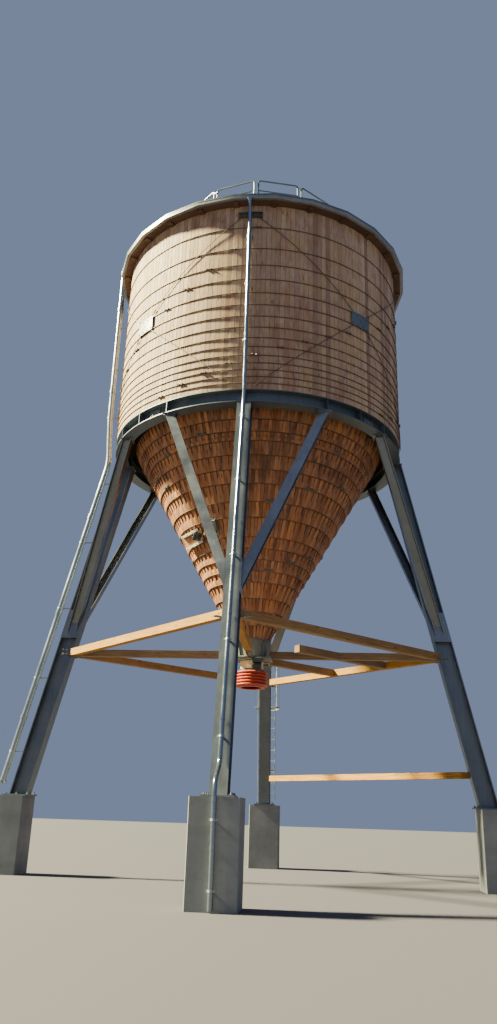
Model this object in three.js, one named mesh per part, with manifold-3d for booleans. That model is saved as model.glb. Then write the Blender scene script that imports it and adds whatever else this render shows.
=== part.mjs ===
// Timber-clad silo on a splayed steel frame, in millimetres, +Z up.
// The origin is on the silo's axis at ground level. The front leg stands at -Y and the right leg at +X.
import * as THREE from 'three';
import { mergeVertices } from 'three/addons/utils/BufferGeometryUtils.js';
import Module from 'manifold-3d';

const wasm = await Module();
wasm.setup();

// Driving dimensions
const FACETS = 24;                 // flats round the wall, the ring and the hopper
const CLEAR = 0.3;                 // gap between pieces that only touch

const PEDESTAL_SIDE = 820;
const PEDESTAL_HEIGHT = 1640;
const PEDESTAL_RADIUS = 5420;      // silo axis to the middle of a pedestal
const PEDESTAL_CHAMFER = 10;

const RING_RADIUS = 3600;          // outer edge of the ring beam and of the timber wall
const RING_BOTTOM = 9740;
const RING_HEIGHT = 300;
const RING_WIDTH = 300;
const RING_FLANGE = 19;
const RING_WEB = 11;
const STIFFENER = 12;
const RING_TOP = RING_BOTTOM + RING_HEIGHT;
const RING_MIDDLE = RING_RADIUS - RING_WIDTH / 2;

const LEG_FOOT_RADIUS = 5234;      // leg axis at the pedestal's top
const LEG_TOP_RADIUS = 3425;       // leg axis under the ring
const LEG_DEPTH = 410;             // level cut through a leaning 400 mm deep section
const LEG_WIDTH = 300;
const LEG_FLANGE = 24;
const LEG_WEB = 14;
const FOOT_PLATE = { width: 560, depth: 620, thick: 30 };
const HEAD_PLATE = { width: 360, depth: 450, thick: 20 };
const LEG_SLOPE = (LEG_FOOT_RADIUS - LEG_TOP_RADIUS) / (RING_BOTTOM - PEDESTAL_HEIGHT);

const STRUT_JOINT = 5200;          // level where a strut's axis meets the leg's axis
const STRUT_SPREAD = 30;           // degrees round the ring from the leg to a strut's head
const STRUT_WIDTH = 210;
const STRUT_FLANGE = 16;
const STRUT_WEB = 10;
const STRUT_PLATE = 12;
const STRUT_GUSSET = 0.62;         // half the gusset's height over the strut's own cut

const TIE_SIDE = 160;
const TIE_LEVEL = 4910;
const TIE_OFFSET = 118;            // the ties pass this far inside the leg axes
const LOW_TIE_SIDE = 140;
const LOW_TIE_LEVEL = 2340;

const WALL_THICK = 80;
const WALL_TOP = 14940;
const HOOP_LEVELS = [10170, 10330, 10500, 10670, 10860, 11080, 11310, 11580, 11870, 12170, 12490,
  12850, 13240, 13700, 14290];
const HOOP_BAR = 22;
const ROD_BAR = 20;
const ROD_LAP = 4;                 // the rods bear this deep on the hoops
const ROD_INSET = 3;               // degrees from a rod's end to the leg's middle
const CROSS_PLATE = { width: 570, height: 360, thick: 16 };
const ANCHOR = { width: 290, height: 150, thick: 46, level: 14660 };
const ROD_FOOT = 10090;
const ROD_HEAD = 14600;

const CONE_BOTTOM = 5240;
const CONE_BOTTOM_RADIUS = 412;
const CONE_SLOPE = Math.tan(Math.PI / 6);
const CONE_THICK = 80;
const CONE_BANDS = 16;
const HOPPER_SPLIT = 8;            // bands in the lower storey
const HOPPER_SEAT = { height: 60, gap: 8 };
const CONE_STEP = 18;              // how far each band stands out over the next one below

const ROOF_SIDES = 26;
const ROOF_TURN = 8.5;             // degrees from the front to a corner of the roof
const EAVE_RADIUS = 3890;          // corners of the gutter
const EAVE_BOTTOM = 14955;
const EAVE_TOP = 15080;
const GUTTER_WIDTH = 85;
const GUTTER_SHEET = 4;
const GUTTER_FLARE = 12;           // the gutter's front leans out this far
const ROOF_PITCH = Math.tan(28 * Math.PI / 180);
const PLATFORM_RADIUS = 2420;      // corners of the flat top inside the railing
const ROOF_DECK = 60;
const ROOF_BEARING = 120;          // width of the deck that lies on the soffit
const ROOF_EDGE = EAVE_RADIUS - GUTTER_WIDTH - CLEAR;
const SOFFIT = { thick: 40, width: 260 };

const RAIL_SIDES = 12;
const RAIL_RADIUS = 2240;
const RAIL_TURN = -0.7;
const RAIL_LEVELS = [16300, 16620, 16940];
const RAIL_BAR = 40;
const POST = { width: 125, depth: 48 };

const WALL_BRACKETS = [11200, 12670, 14000];        // between hoops, for the ladder and the pipes
const LEG_BRACKETS = [2600, 4300, 6000, 7700, 9300];
const BRACKET = 40;                // height of the brackets' bars
const FILL_FOOT = 1900;            // lower end of the filling pipe
const COUPLING = { radius: 95, height: 60 };

const material = (hex, roughness, metalness) => new THREE.MeshStandardMaterial({
  color: new THREE.Color(hex), roughness, metalness,
});
const CONCRETE = material('#8b8780', 0.9, 0);
const STEEL = material('#6f7880', 0.5, 0.6);
const RING_PAINT = material('#3b4653', 0.5, 0.4);
const ZINC = material('#aab0b4', 0.35, 0.9);
const SPRUCE = material('#a98f74', 0.8, 0);
const HOPPER_WOOD = material('#8a5630', 0.8, 0);
const TIE_WOOD = material('#9a6d3e', 0.8, 0);
const ROOF_WOOD = material('#4a2f20', 0.85, 0);
const ROOF_SHEET = material('#74767a', 0.7, 0.1);
const BELLOWS_CLOTH = material('#c8452a', 0.7, 0);
const SLEEVE_CLOTH = material('#c3a27a', 0.8, 0);

const silo = new THREE.Group();
const radians = THREE.MathUtils.degToRad;

// Turns triangles whose volume comes out negative, so that faces point outwards
function outward(geometry) {
  const p = geometry.attributes.position;
  const index = Array.from(geometry.index.array);
  const a = new THREE.Vector3();
  const b = new THREE.Vector3();
  const c = new THREE.Vector3();
  let volume = 0;
  for (let i = 0; i < index.length; i += 3) {
    a.fromBufferAttribute(p, index[i]);
    b.fromBufferAttribute(p, index[i + 1]);
    c.fromBufferAttribute(p, index[i + 2]);
    volume += a.dot(b.cross(c));
  }
  if (volume < 0) {
    for (let i = 0; i < index.length; i += 3) {
      [index[i + 1], index[i + 2]] = [index[i + 2], index[i + 1]];
    }
    geometry.setIndex(index);
  }
  return geometry;
}

// A closed geometry as a solid that can be joined and cut
function solid(geometry) {
  let g = geometry.clone();
  g.deleteAttribute('normal');
  g.deleteAttribute('uv');
  g = outward(mergeVertices(g, 1e-3));
  return new wasm.Manifold(new wasm.Mesh({
    numProp: 3,
    vertProperties: new Float32Array(g.attributes.position.array),
    triVerts: new Uint32Array(g.index.array),
  }));
}

function geometryOf(manifold) {
  const mesh = manifold.getMesh();
  const g = new THREE.BufferGeometry();
  g.setAttribute('position', new THREE.BufferAttribute(new Float32Array(mesh.vertProperties), 3));
  g.setIndex(Array.from(mesh.triVerts));
  return g;
}

function join(geometries) {
  return geometryOf(geometries.map(solid).reduce((whole, next) => whole.add(next)));
}

function cut(geometry, ...cutters) {
  return geometryOf(cutters.map(solid).reduce((whole, next) => whole.subtract(next), solid(geometry)));
}

function common(geometry, other) {
  return geometryOf(solid(geometry).intersect(solid(other)));
}

function add(name, geometry, finish, turn = 0) {
  const mesh = new THREE.Mesh(geometry, finish);
  mesh.name = name;
  mesh.rotation.z = radians(turn);
  silo.add(mesh);
  return mesh;
}

// A place given by degrees from the front towards +X, distance from the axis, and height
function place(degrees, radius, height) {
  const a = radians(degrees);
  return new THREE.Vector3(radius * Math.sin(a), -radius * Math.cos(a), height);
}

function block(width, depth, height, x, y, bottom) {
  return new THREE.BoxGeometry(width, depth, height).translate(x, y, bottom + height / 2);
}

function prism(points, bottom, top) {
  const shape = new THREE.Shape(points.map(([x, y]) => new THREE.Vector2(x, y)));
  const g = new THREE.ExtrudeGeometry(shape, { depth: top - bottom, bevelEnabled: false });
  return g.translate(0, 0, bottom);
}

// A ring or cone of flats from [radius, height] points, its corners starting at a given turn
function revolve(profile, sides, turn = 0) {
  const closed = [...profile, profile[0]].map(([r, z]) => new THREE.Vector2(r, z));
  const g = new THREE.LatheGeometry(closed, sides, radians(turn), 2 * Math.PI);
  return g.rotateX(Math.PI / 2);
}

// A solid of revolution whose profile starts and ends on the axis
function revolveToAxis(profile, sides, turn = 0) {
  const points = profile.map(([r, z]) => new THREE.Vector2(r, z));
  return new THREE.LatheGeometry(points, sides, radians(turn), 2 * Math.PI)
    .rotateX(Math.PI / 2);
}

// Wide-flange outline: flanges along X, web along Y
function wideFlange(width, depth, flange, web) {
  const w = width / 2;
  const d = depth / 2;
  const t = web / 2;
  return [[-w, -d], [w, -d], [w, -d + flange], [t, -d + flange], [t, d - flange], [w, d - flange],
    [w, d], [-w, d], [-w, d - flange], [-t, d - flange], [-t, -d + flange], [-w, -d + flange]];
}

// Leans an upright piece: dx and dy for each unit of height, none at the given level
function lean(geometry, dx, dy, level) {
  const m = new THREE.Matrix4().set(
    1, 0, dx, -dx * level,
    0, 1, dy, -dy * level,
    0, 0, 1, 0,
    0, 0, 0, 1,
  );
  return geometry.applyMatrix4(m);
}

// A curve whose steps fall exactly on its points, so that bends get points and straights don't
class Route extends THREE.CatmullRomCurve3 {
  constructor(points) {
    super(points, false, 'catmullrom', 0.5);
  }

  getUtoTmapping(u) {
    return u;
  }
}

function along(points, outline) {
  return new THREE.ExtrudeGeometry(outline, {
    steps: points.length - 1, extrudePath: new Route(points), bevelEnabled: false,
  });
}

function bar(points, width, sides = 4) {
  return along(points, new THREE.Shape(new THREE.EllipseCurve(0, 0, width / 2, width / 2)
    .getPoints(sides).slice(0, sides)));
}

// A block from one distance to another along -Y, in front of the axis
function standOff(width, height, from, to, level, x = 0) {
  return block(width, to - from, height, x, -(from + to) / 2, level - height / 2);
}

// The quarter of a piece between two legs, quarter 0 from the front leg to the right one
function quarter(geometry, index, top) {
  const room = block(6000, 6000, top + 10, 3000 + CLEAR / 2, -3000 - CLEAR / 2, -5)
    .rotateZ(index * Math.PI / 2);
  return common(geometry, room);
}

const SIDES = ['front', 'right', 'back', 'left'];
const QUARTERS = ['front_right', 'back_right', 'back_left', 'front_left'];

function legRadius(level) {
  return LEG_TOP_RADIUS + (RING_BOTTOM - level) * LEG_SLOPE;
}

// Concrete pedestals
function pedestal() {
  const h = PEDESTAL_SIDE / 2;
  const c = h - PEDESTAL_CHAMFER;
  const outline = [[-c, -h], [c, -h], [h, -c], [h, c], [c, h], [-c, h], [-h, c], [-h, -c]];
  return prism(outline, 0, PEDESTAL_HEIGHT).translate(0, -PEDESTAL_RADIUS, 0);
}

// Leaning legs with a foot plate and a head plate
function leg() {
  const foot = PEDESTAL_HEIGHT + FOOT_PLATE.thick;
  const head = RING_BOTTOM - HEAD_PLATE.thick;
  const outline = wideFlange(LEG_WIDTH, LEG_DEPTH, LEG_FLANGE, LEG_WEB);
  const shaft = lean(prism(outline, foot - 10, head + 10), 0, LEG_SLOPE, RING_BOTTOM)
    .translate(0, -LEG_TOP_RADIUS, 0);
  return join([
    shaft,
    block(FOOT_PLATE.width, FOOT_PLATE.depth, FOOT_PLATE.thick, 0, -LEG_FOOT_RADIUS, PEDESTAL_HEIGHT),
    block(HEAD_PLATE.width, HEAD_PLATE.depth, HEAD_PLATE.thick, 0, -LEG_TOP_RADIUS, head),
  ]);
}

// A strut on the right of the front leg (hand 1) or its left, from the leg's side up to the ring
function strut(hand) {
  const head = place(STRUT_SPREAD, RING_MIDDLE, RING_BOTTOM);
  const rise = RING_BOTTOM - STRUT_JOINT;
  const dx = head.x / rise;
  const dy = (head.y + legRadius(STRUT_JOINT)) / rise;
  const top = RING_BOTTOM - STRUT_PLATE;
  const outline = wideFlange(STRUT_WIDTH, STRUT_WIDTH, STRUT_FLANGE, STRUT_WEB);
  const shaft = lean(prism(outline, STRUT_JOINT, top + 5), dx, dy, RING_BOTTOM)
    .translate(head.x, head.y, 0);
  const side = LEG_WIDTH / 2 + CLEAR;
  const trimmed = cut(shaft, block(2000, 3000, 9000, side + 5 - 1000, -legRadius(STRUT_JOINT), 3000));
  const meet = STRUT_JOINT + side / dx;
  const reach = STRUT_GUSSET * STRUT_WIDTH / dx;
  const plate = lean(block(STRUT_PLATE, LEG_DEPTH, 2 * reach, side + STRUT_PLATE / 2, 0, meet - reach),
    0, LEG_SLOPE, RING_BOTTOM).translate(0, -LEG_TOP_RADIUS, 0);
  const cap = block(300, 280, STRUT_PLATE, head.x, head.y, top);
  const whole = join([trimmed, plate, cap]);
  return hand < 0 ? outward(whole.scale(-1, 1, 1)) : whole;
}

// Curved ring beam with web stiffeners over the legs, the struts and the middle of each bay
function ringBeam() {
  const inner = RING_RADIUS - RING_WIDTH;
  const web = [RING_MIDDLE - RING_WEB / 2, RING_MIDDLE + RING_WEB / 2];
  const low = RING_BOTTOM + RING_FLANGE;
  const high = RING_TOP - RING_FLANGE;
  const profile = [[inner, RING_BOTTOM], [RING_RADIUS, RING_BOTTOM], [RING_RADIUS, low], [web[1], low],
    [web[1], high], [RING_RADIUS, high], [RING_RADIUS, RING_TOP], [inner, RING_TOP], [inner, high],
    [web[0], high], [web[0], low], [inner, low]];
  const pieces = [revolve(profile, FACETS)];
  for (let k = 0; k < 4; k += 1) {
    for (const offset of [0, 30, 45, 60]) {
      const plate = block(STIFFENER, RING_WIDTH - 60, RING_HEIGHT - 20, 0, -RING_MIDDLE, RING_BOTTOM + 10);
      pieces.push(plate.rotateZ(radians(90 * k + offset)));
    }
  }
  return join(pieces);
}

// Timber tie between two neighbouring legs, cut off at the sides of the legs
function tie(side, level) {
  const reach = legRadius(level) - TIE_OFFSET;
  const beam = block(2 * reach, side, side, 0, 0, level - side / 2)
    .rotateZ(Math.PI / 4).translate(reach / 2, -reach / 2, 0);
  const end = LEG_WIDTH / 2 + CLEAR;
  return cut(
    beam,
    block(2000, 16000, 16000, end - 1000, 0, 0),
    block(16000, 2000, 16000, 0, 1000 - end, 0),
  );
}

// Timber wall: a quarter between two legs
function wallQuarter(index) {
  const profile = [[RING_RADIUS - WALL_THICK, RING_TOP], [RING_RADIUS, RING_TOP],
    [RING_RADIUS, WALL_TOP], [RING_RADIUS - WALL_THICK, WALL_TOP]];
  return quarter(revolve(profile, FACETS), index, WALL_TOP);
}

// Steel hoops round the wall, joined by the crossed rods that run over them. The rods end at
// anchor plates on the wall, over the legs.
function hoopQuarter(index) {
  const skin = RING_RADIUS + CLEAR;
  const pieces = HOOP_LEVELS.map((level) => {
    const profile = [[skin, level], [skin + HOOP_BAR, level], [skin + HOOP_BAR, level + HOOP_BAR],
      [skin, level + HOOP_BAR]];
    return quarter(revolve(profile, FACETS), index, WALL_TOP);
  });
  const radius = skin + HOOP_BAR + ROD_BAR / 2 - ROD_LAP;
  const flat = radians(180 / FACETS);
  const steps = FACETS / 4;
  const start = 90 * index;
  const rod = (from, to) => {
    const at = (angle) => {
      const share = (angle - ROD_INSET) / (90 - 2 * ROD_INSET);
      const aside = radians(angle % (360 / FACETS)) - flat;
      const line = radius * Math.cos(flat) / Math.cos(aside);
      return place(start + angle, line, from + (to - from) * share);
    };
    const points = [at(ROD_INSET)];
    for (let i = 1; i < steps; i += 1) {
      points.push(at(90 * i / steps));
    }
    points.push(at(90 - ROD_INSET));
    return bar(points, ROD_BAR * 1.4, 3);
  };
  pieces.push(rod(ROD_FOOT, ROD_HEAD), rod(ROD_HEAD, ROD_FOOT));
  const middle = (ROD_FOOT + ROD_HEAD) / 2;
  const { width, height, thick } = CROSS_PLATE;
  pieces.push(standOff(width, height, radius - thick / 2, radius + thick / 2, middle)
    .rotateZ(radians(start + 45)));
  const wall = RING_RADIUS * Math.cos(flat) + CLEAR;
  const end = RING_RADIUS * Math.sin(flat) - ANCHOR.width / 2 - CLEAR;
  for (const side of [-1, 1]) {
    const turn = side < 0 ? start + 180 / FACETS : start + 90 - 180 / FACETS;
    pieces.push(standOff(ANCHOR.width, ANCHOR.height, wall, wall + ANCHOR.thick, ANCHOR.level, side * end)
      .rotateZ(radians(turn)));
  }
  return join(pieces);
}

// Timber hopper in two storeys: stepped bands, and on the upper one a seat on the ring's top flange
function hopperQuarter(index, first, last) {
  const radiusAt = (z) => CONE_BOTTOM_RADIUS + (z - CONE_BOTTOM) * CONE_SLOPE;
  const band = (RING_BOTTOM - CONE_BOTTOM) / CONE_BANDS;
  const foot = CONE_BOTTOM + first * band + (first > 0 ? CLEAR : 0);
  const profile = [];
  for (let i = first; i < last; i += 1) {
    const low = CONE_BOTTOM + i * band;
    profile.push([radiusAt(low) + CONE_STEP / 2, Math.max(low, foot)]);
    profile.push([radiusAt(low + band) - CONE_STEP / 2, low + band]);
  }
  let top = CONE_BOTTOM + last * band;
  if (last === CONE_BANDS) {
    const seat = RING_RADIUS - WALL_THICK - HOPPER_SEAT.gap;
    top = RING_TOP + HOPPER_SEAT.height;
    profile.push([radiusAt(RING_TOP) - CONE_STEP / 2, RING_TOP]);
    profile.push([seat, RING_TOP], [seat, top]);
  }
  const wall = CONE_THICK / Math.cos(Math.atan(CONE_SLOPE));
  profile.push([radiusAt(top) - wall, top]);
  profile.push([radiusAt(foot) - wall, foot]);
  return quarter(revolve(profile, FACETS), index, WALL_TOP);
}

// Roof: soffit ring on the wall, a sloping deck with a flat top on it, gutter round the edge
function soffitRing() {
  const inner = RING_RADIUS - SOFFIT.width;
  const top = WALL_TOP + SOFFIT.thick;
  return revolve([[inner, WALL_TOP], [ROOF_EDGE, WALL_TOP], [ROOF_EDGE, top], [inner, top]],
    ROOF_SIDES, ROOF_TURN);
}

function deckHeight(radius) {
  return EAVE_TOP - 10 + (ROOF_EDGE - Math.max(radius, PLATFORM_RADIUS)) * ROOF_PITCH;
}

function roofDeck() {
  const base = WALL_TOP + SOFFIT.thick;
  const bearing = ROOF_EDGE - ROOF_BEARING;
  const top = deckHeight(0);
  return revolveToAxis([[0, top - ROOF_DECK], [PLATFORM_RADIUS, top - ROOF_DECK],
    [bearing, deckHeight(bearing) - ROOF_DECK], [bearing, base], [ROOF_EDGE, base],
    [ROOF_EDGE, deckHeight(ROOF_EDGE)], [PLATFORM_RADIUS, top], [0, top]], ROOF_SIDES, ROOF_TURN);
}

function gutter() {
  const inner = EAVE_RADIUS - GUTTER_WIDTH;
  const foot = EAVE_RADIUS - GUTTER_FLARE;
  const s = GUTTER_SHEET;
  return revolve([[inner, EAVE_BOTTOM], [foot, EAVE_BOTTOM], [EAVE_RADIUS, EAVE_TOP],
    [EAVE_RADIUS - s, EAVE_TOP], [foot - s, EAVE_BOTTOM + s], [inner + s, EAVE_BOTTOM + s],
    [inner + s, EAVE_TOP], [inner, EAVE_TOP]], ROOF_SIDES, ROOF_TURN);
}

// Trims the foot of a piece to the slope of the roof it stands on, and what is left below the deck
function onRoof(geometry) {
  return cut(
    geometry,
    roofDeck().translate(0, 0, CLEAR),
    roofDeck().translate(0, 0, CLEAR - ROOF_DECK / 2),
  );
}

// Railing: a post at each joint of the panels, and rails that run round
function railing() {
  const half = RAIL_BAR / 2;
  const pieces = RAIL_LEVELS.map((level) => revolve([
    [RAIL_RADIUS - half, level - half], [RAIL_RADIUS + half, level - half],
    [RAIL_RADIUS + half, level + half], [RAIL_RADIUS - half, level + half],
  ], RAIL_SIDES, RAIL_TURN));
  const foot = deckHeight(0) + CLEAR;
  const top = RAIL_LEVELS[2] + half + 3;
  for (let i = 0; i < RAIL_SIDES; i += 1) {
    pieces.push(block(POST.width, POST.depth, top - foot, 0, -RAIL_RADIUS + 6, foot)
      .rotateZ(radians(RAIL_TURN + 360 * i / RAIL_SIDES)));
  }
  return join(pieces);
}

// Brackets that hold a pipe or a ladder off the wall and off a leg, to its line
function brackets(width, legLevels, reach) {
  const legFace = (z) => legRadius(z) + LEG_DEPTH / 2 + CLEAR + BRACKET / 2 * LEG_SLOPE;
  return [
    ...WALL_BRACKETS.map((z) => standOff(width, BRACKET, RING_RADIUS + CLEAR, reach(z), z)),
    ...legLevels.map((z) => standOff(width, BRACKET, legFace(z), reach(z), z)),
  ];
}

// Rainwater pipe: from the gutter down the wall, the front leg and the pedestal
function downpipe() {
  const wallLine = RING_RADIUS + 105;
  const legLine = (z) => legRadius(z) + LEG_DEPTH / 2 + 62;
  const face = PEDESTAL_RADIUS + PEDESTAL_SIDE / 2;
  const faceLine = face + 52;
  const outlet = EAVE_RADIUS - 50;
  const route = [[outlet, EAVE_BOTTOM - CLEAR], [outlet, EAVE_BOTTOM - 90],
    [outlet - 30, EAVE_BOTTOM - 190], [wallLine + 40, EAVE_BOTTOM - 440],
    [wallLine, EAVE_BOTTOM - 560], [wallLine, EAVE_BOTTOM - 900], [wallLine, RING_TOP + 500],
    [wallLine, RING_BOTTOM + 330], [legLine(RING_BOTTOM - 60), RING_BOTTOM - 60],
    [legLine(9000), 9000], [legLine(2500), 2500], [legLine(2150), 2150],
    [faceLine - 60, 1900], [faceLine, 1720], [faceLine, 1500], [faceLine, 25]];
  const lineAt = (z) => (z > RING_TOP ? wallLine : legLine(z));
  return join([
    bar(route.map(([r, z]) => new THREE.Vector3(0, -r, z)), 80, 8),
    ...brackets(30, LEG_BRACKETS, lineAt),
    ...[300, 1300].map((z) => standOff(30, BRACKET, face + CLEAR, faceLine, z)),
  ]);
}

// Filling pipe: up along the left leg and the wall, over the eave and down onto the roof. Its
// lower end is the coupling for a tanker's hose.
function fillPipe() {
  const bore = 140;
  const legLine = (z) => legRadius(z) + 510;
  const wallLine = RING_RADIUS + 385;
  const over = 15900;
  const bend = 330;
  const route = [[legLine(FILL_FOOT), FILL_FOOT], [legLine(5000), 5000], [legLine(9000), 9000],
    [legLine(9900), 9900], [wallLine - 40, 10500], [wallLine, 11200], [wallLine, 14000]];
  for (const a of [0, 30, 60, 90, 120, 150, 180]) {
    const t = radians(a);
    route.push([wallLine - bend + bend * Math.cos(t), over + bend * Math.sin(t)]);
  }
  const drop = wallLine - 2 * bend;
  route.push([drop, deckHeight(drop + bore / 2)]);
  const lineAt = (z) => (z > RING_TOP ? wallLine : legLine(z));
  const { radius, height } = COUPLING;
  const pipe = join([
    bar(route.map(([r, z]) => new THREE.Vector3(0, -r, z)), bore, 10),
    new THREE.CylinderGeometry(radius, radius, height, 12).rotateX(Math.PI / 2)
      .translate(0, -legLine(FILL_FOOT), FILL_FOOT + height / 2),
    ...brackets(60, LEG_BRACKETS, lineAt),
  ]);
  const level = block(bore * 2, bore * 2, bore, 0, -legLine(FILL_FOOT), FILL_FOOT - bore);
  return onRoof(cut(pipe, level).rotateZ(-Math.PI / 2));
}

// Ladder on the back leg and the wall, with its brackets
const LADDER = { width: 500, stile: 20, depth: 60, rung: 28, pitch: 300, foot: 1750, top: 16600 };
const LADDER_OFF = RING_RADIUS + 470;
const LADDER_KNEE = RING_BOTTOM + 100;
function ladderRadius(z) {
  return LADDER_OFF + Math.max(0, LADDER_KNEE - z) * LEG_SLOPE;
}

function ladder() {
  const stile = new THREE.Shape([[-1, -1], [1, -1], [1, 1], [-1, 1]]
    .map(([x, y]) => new THREE.Vector2(x * LADDER.stile / 2, y * LADDER.depth / 2)));
  const pieces = [];
  for (const x of [-LADDER.width / 2, LADDER.width / 2]) {
    const line = [LADDER.foot, LADDER_KNEE, LADDER.top];
    pieces.push(along(line.map((z) => new THREE.Vector3(x, -ladderRadius(z), z)), stile));
  }
  for (let z = LADDER.foot + 150; z < LADDER.top - 100; z += LADDER.pitch) {
    const rung = new THREE.CylinderGeometry(LADDER.rung / 2, LADDER.rung / 2, LADDER.width, 3);
    pieces.push(rung.rotateZ(Math.PI / 2).translate(0, -ladderRadius(z), z));
  }
  for (const z of [...LEG_BRACKETS, ...WALL_BRACKETS]) {
    pieces.push(standOff(LADDER.width, BRACKET, ladderRadius(z) - 60, ladderRadius(z) - 20, z));
  }
  pieces.push(...brackets(120, LEG_BRACKETS, (z) => ladderRadius(z) - 30));
  return join(pieces).rotateZ(Math.PI);
}

// Safety cage behind the climber, from 2.6 m above the ladder's foot to its top
const CAGE = { foot: 2600, pitch: 1480, radius: 360, reach: 1.35, back: 130, strap: 40 };
function ladderCage() {
  const levels = [];
  for (let z = LADDER.foot + CAGE.foot; z < LADDER.top; z += CAGE.pitch) {
    levels.push(z);
  }
  const outline = (z, a) => {
    const t = radians(a);
    return new THREE.Vector3(CAGE.radius * Math.cos(t),
      ladderRadius(z) + CAGE.back + CAGE.radius * CAGE.reach * Math.sin(t), z);
  };
  const side = LADDER.width / 2 + LADDER.stile / 2 + CLEAR;
  const pieces = [];
  for (const z of levels) {
    const points = [0, 45, 90, 135, 180].map((a) => outline(z, a));
    const lug = side + CAGE.strap / 2;
    points.unshift(new THREE.Vector3(lug, ladderRadius(z), z));
    points.push(new THREE.Vector3(-lug, ladderRadius(z), z));
    pieces.push(bar(points, CAGE.strap, 3));
    for (const x of [-lug, lug]) {
      pieces.push(block(CAGE.strap, LADDER.depth, CAGE.strap, x, ladderRadius(z), z - CAGE.strap / 2));
    }
  }
  for (const a of [0, 90, 180]) {
    const line = [levels[0], LADDER_KNEE, levels[levels.length - 1]].map((z) => outline(z, a));
    pieces.push(bar(line, CAGE.strap, 3));
  }
  return join(pieces);
}

// Outlet: steel cone, slide gate, dust sleeve and loading bellows
const GATE_TOP = TIE_LEVEL - TIE_SIDE / 2;
const GATE = { width: 940, depth: 660, thick: 40, guide: 450, tail: 480, arm: 730, armWidth: 120 };
const GATE_BOTTOM = GATE_TOP - GATE.thick;
const SLEEVE = { radius: 280, wall: 12, bottom: 4520 };
const BELLOWS = { top: 4530, bottom: 4150, radius: 386, neck: 300, bore: 240, folds: 4 };
const DRIVE = { width: 230, depth: 170, height: 250, x: 150 };

function outletCone() {
  const top = CONE_BOTTOM;
  return revolve([[300, GATE_TOP], [320, GATE_TOP], [CONE_BOTTOM_RADIUS, top - 6],
    [CONE_BOTTOM_RADIUS, top], [CONE_BOTTOM_RADIUS - 22, top]], 24);
}

// Flat slide gate under the outlet cone: its frame with the plate shut, and the guide at the back
// that the cross beam rests on
function slideGate() {
  const back = GATE.depth / 2;
  return join([
    block(GATE.width, GATE.depth, GATE.thick, 0, 0, GATE_BOTTOM),
    block(GATE.guide, GATE.tail + 10, GATE.thick, GATE.guide / 2 - 60, back + GATE.tail / 2 - 5, GATE_BOTTOM),
    block(GATE.armWidth, GATE.arm + 10, GATE.thick, 0, 5 - back - GATE.arm / 2, GATE_BOTTOM),
  ]);
}

// Drive of the gate, hung under the front of its frame
function gateDrive() {
  return block(DRIVE.width, DRIVE.depth, DRIVE.height, DRIVE.x, -SLEEVE.radius - DRIVE.depth / 2 - 12,
    GATE_BOTTOM - DRIVE.height);
}

function dustSleeve() {
  const inner = SLEEVE.radius - SLEEVE.wall;
  return revolve([[inner, BELLOWS.top], [SLEEVE.radius, BELLOWS.top], [SLEEVE.radius, GATE_BOTTOM],
    [inner, GATE_BOTTOM]], 16);
}

// Folded cloth bellows, drawn up, with the chute's bore through them
function loadingBellows() {
  const fold = (BELLOWS.top - BELLOWS.bottom) / BELLOWS.folds;
  const profile = [[BELLOWS.bore, BELLOWS.bottom], [BELLOWS.neck, BELLOWS.bottom]];
  for (let i = 0; i < BELLOWS.folds; i += 1) {
    const low = BELLOWS.bottom + i * fold;
    profile.push([BELLOWS.radius, low + 0.3 * fold], [BELLOWS.radius, low + 0.7 * fold]);
    profile.push([BELLOWS.neck + 40, low + fold]);
  }
  profile.pop();
  profile.push([BELLOWS.neck, BELLOWS.top], [BELLOWS.bore, BELLOWS.top]);
  return revolve(profile, 16);
}

// Middle ties from the left, right and front legs to the gate's frame. The front one ends on an arm of
// the frame. The right one carries a cross beam that runs out to the back right tie, and a second beam
// runs from the frame to that tie.
const MIDDLE_END = GATE.width / 2 - 60;
const FRONT_END = GATE.depth / 2 + GATE.arm - 80;
function middleTie(end = MIDDLE_END) {
  const low = TIE_LEVEL - TIE_SIDE / 2;
  const inner = (z) => legRadius(z) - LEG_DEPTH / 2 - CLEAR;
  const outline = [[end, low], [inner(low), low], [inner(low + TIE_SIDE), low + TIE_SIDE],
    [end, low + TIE_SIDE]];
  return prism(outline, -TIE_SIDE / 2, TIE_SIDE / 2).rotateX(Math.PI / 2);
}

// A beam square to the back right tie, from (x, y) to the tie's inner face
function crossBeam(x, y) {
  const tieFace = (legRadius(TIE_LEVEL) - TIE_OFFSET) * Math.SQRT1_2 - TIE_SIDE / 2 - CLEAR;
  const from = (x + y) * Math.SQRT1_2;
  const aside = (x - y) * Math.SQRT1_2;
  return block(tieFace - from, TIE_SIDE, TIE_SIDE, (tieFace + from) / 2, -aside, TIE_LEVEL - TIE_SIDE / 2)
    .rotateZ(Math.PI / 4);
}

// Vibrator on the hopper's front left: a back plate along the boards, two rails and the motor
const VIBRATOR = { turn: -52.5, level: 7470, width: 800, height: 320, plate: 20, rail: 70 };
const SENSOR = { turn: -22.5, level: 7570, width: 150, height: 360, depth: 110, aside: -120 };
function onHopper(width, height, from, depth, level, x = 0) {
  const slope = CONE_SLOPE * Math.cos(Math.PI / FACETS);
  const middle = CONE_BOTTOM_RADIUS + (level - CONE_BOTTOM) * CONE_SLOPE + CONE_STEP / 2;
  const face = middle * Math.cos(Math.PI / FACETS) + CLEAR + from;
  return lean(standOff(width, height, face, face + depth, level, x), 0, -slope, level);
}

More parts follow.
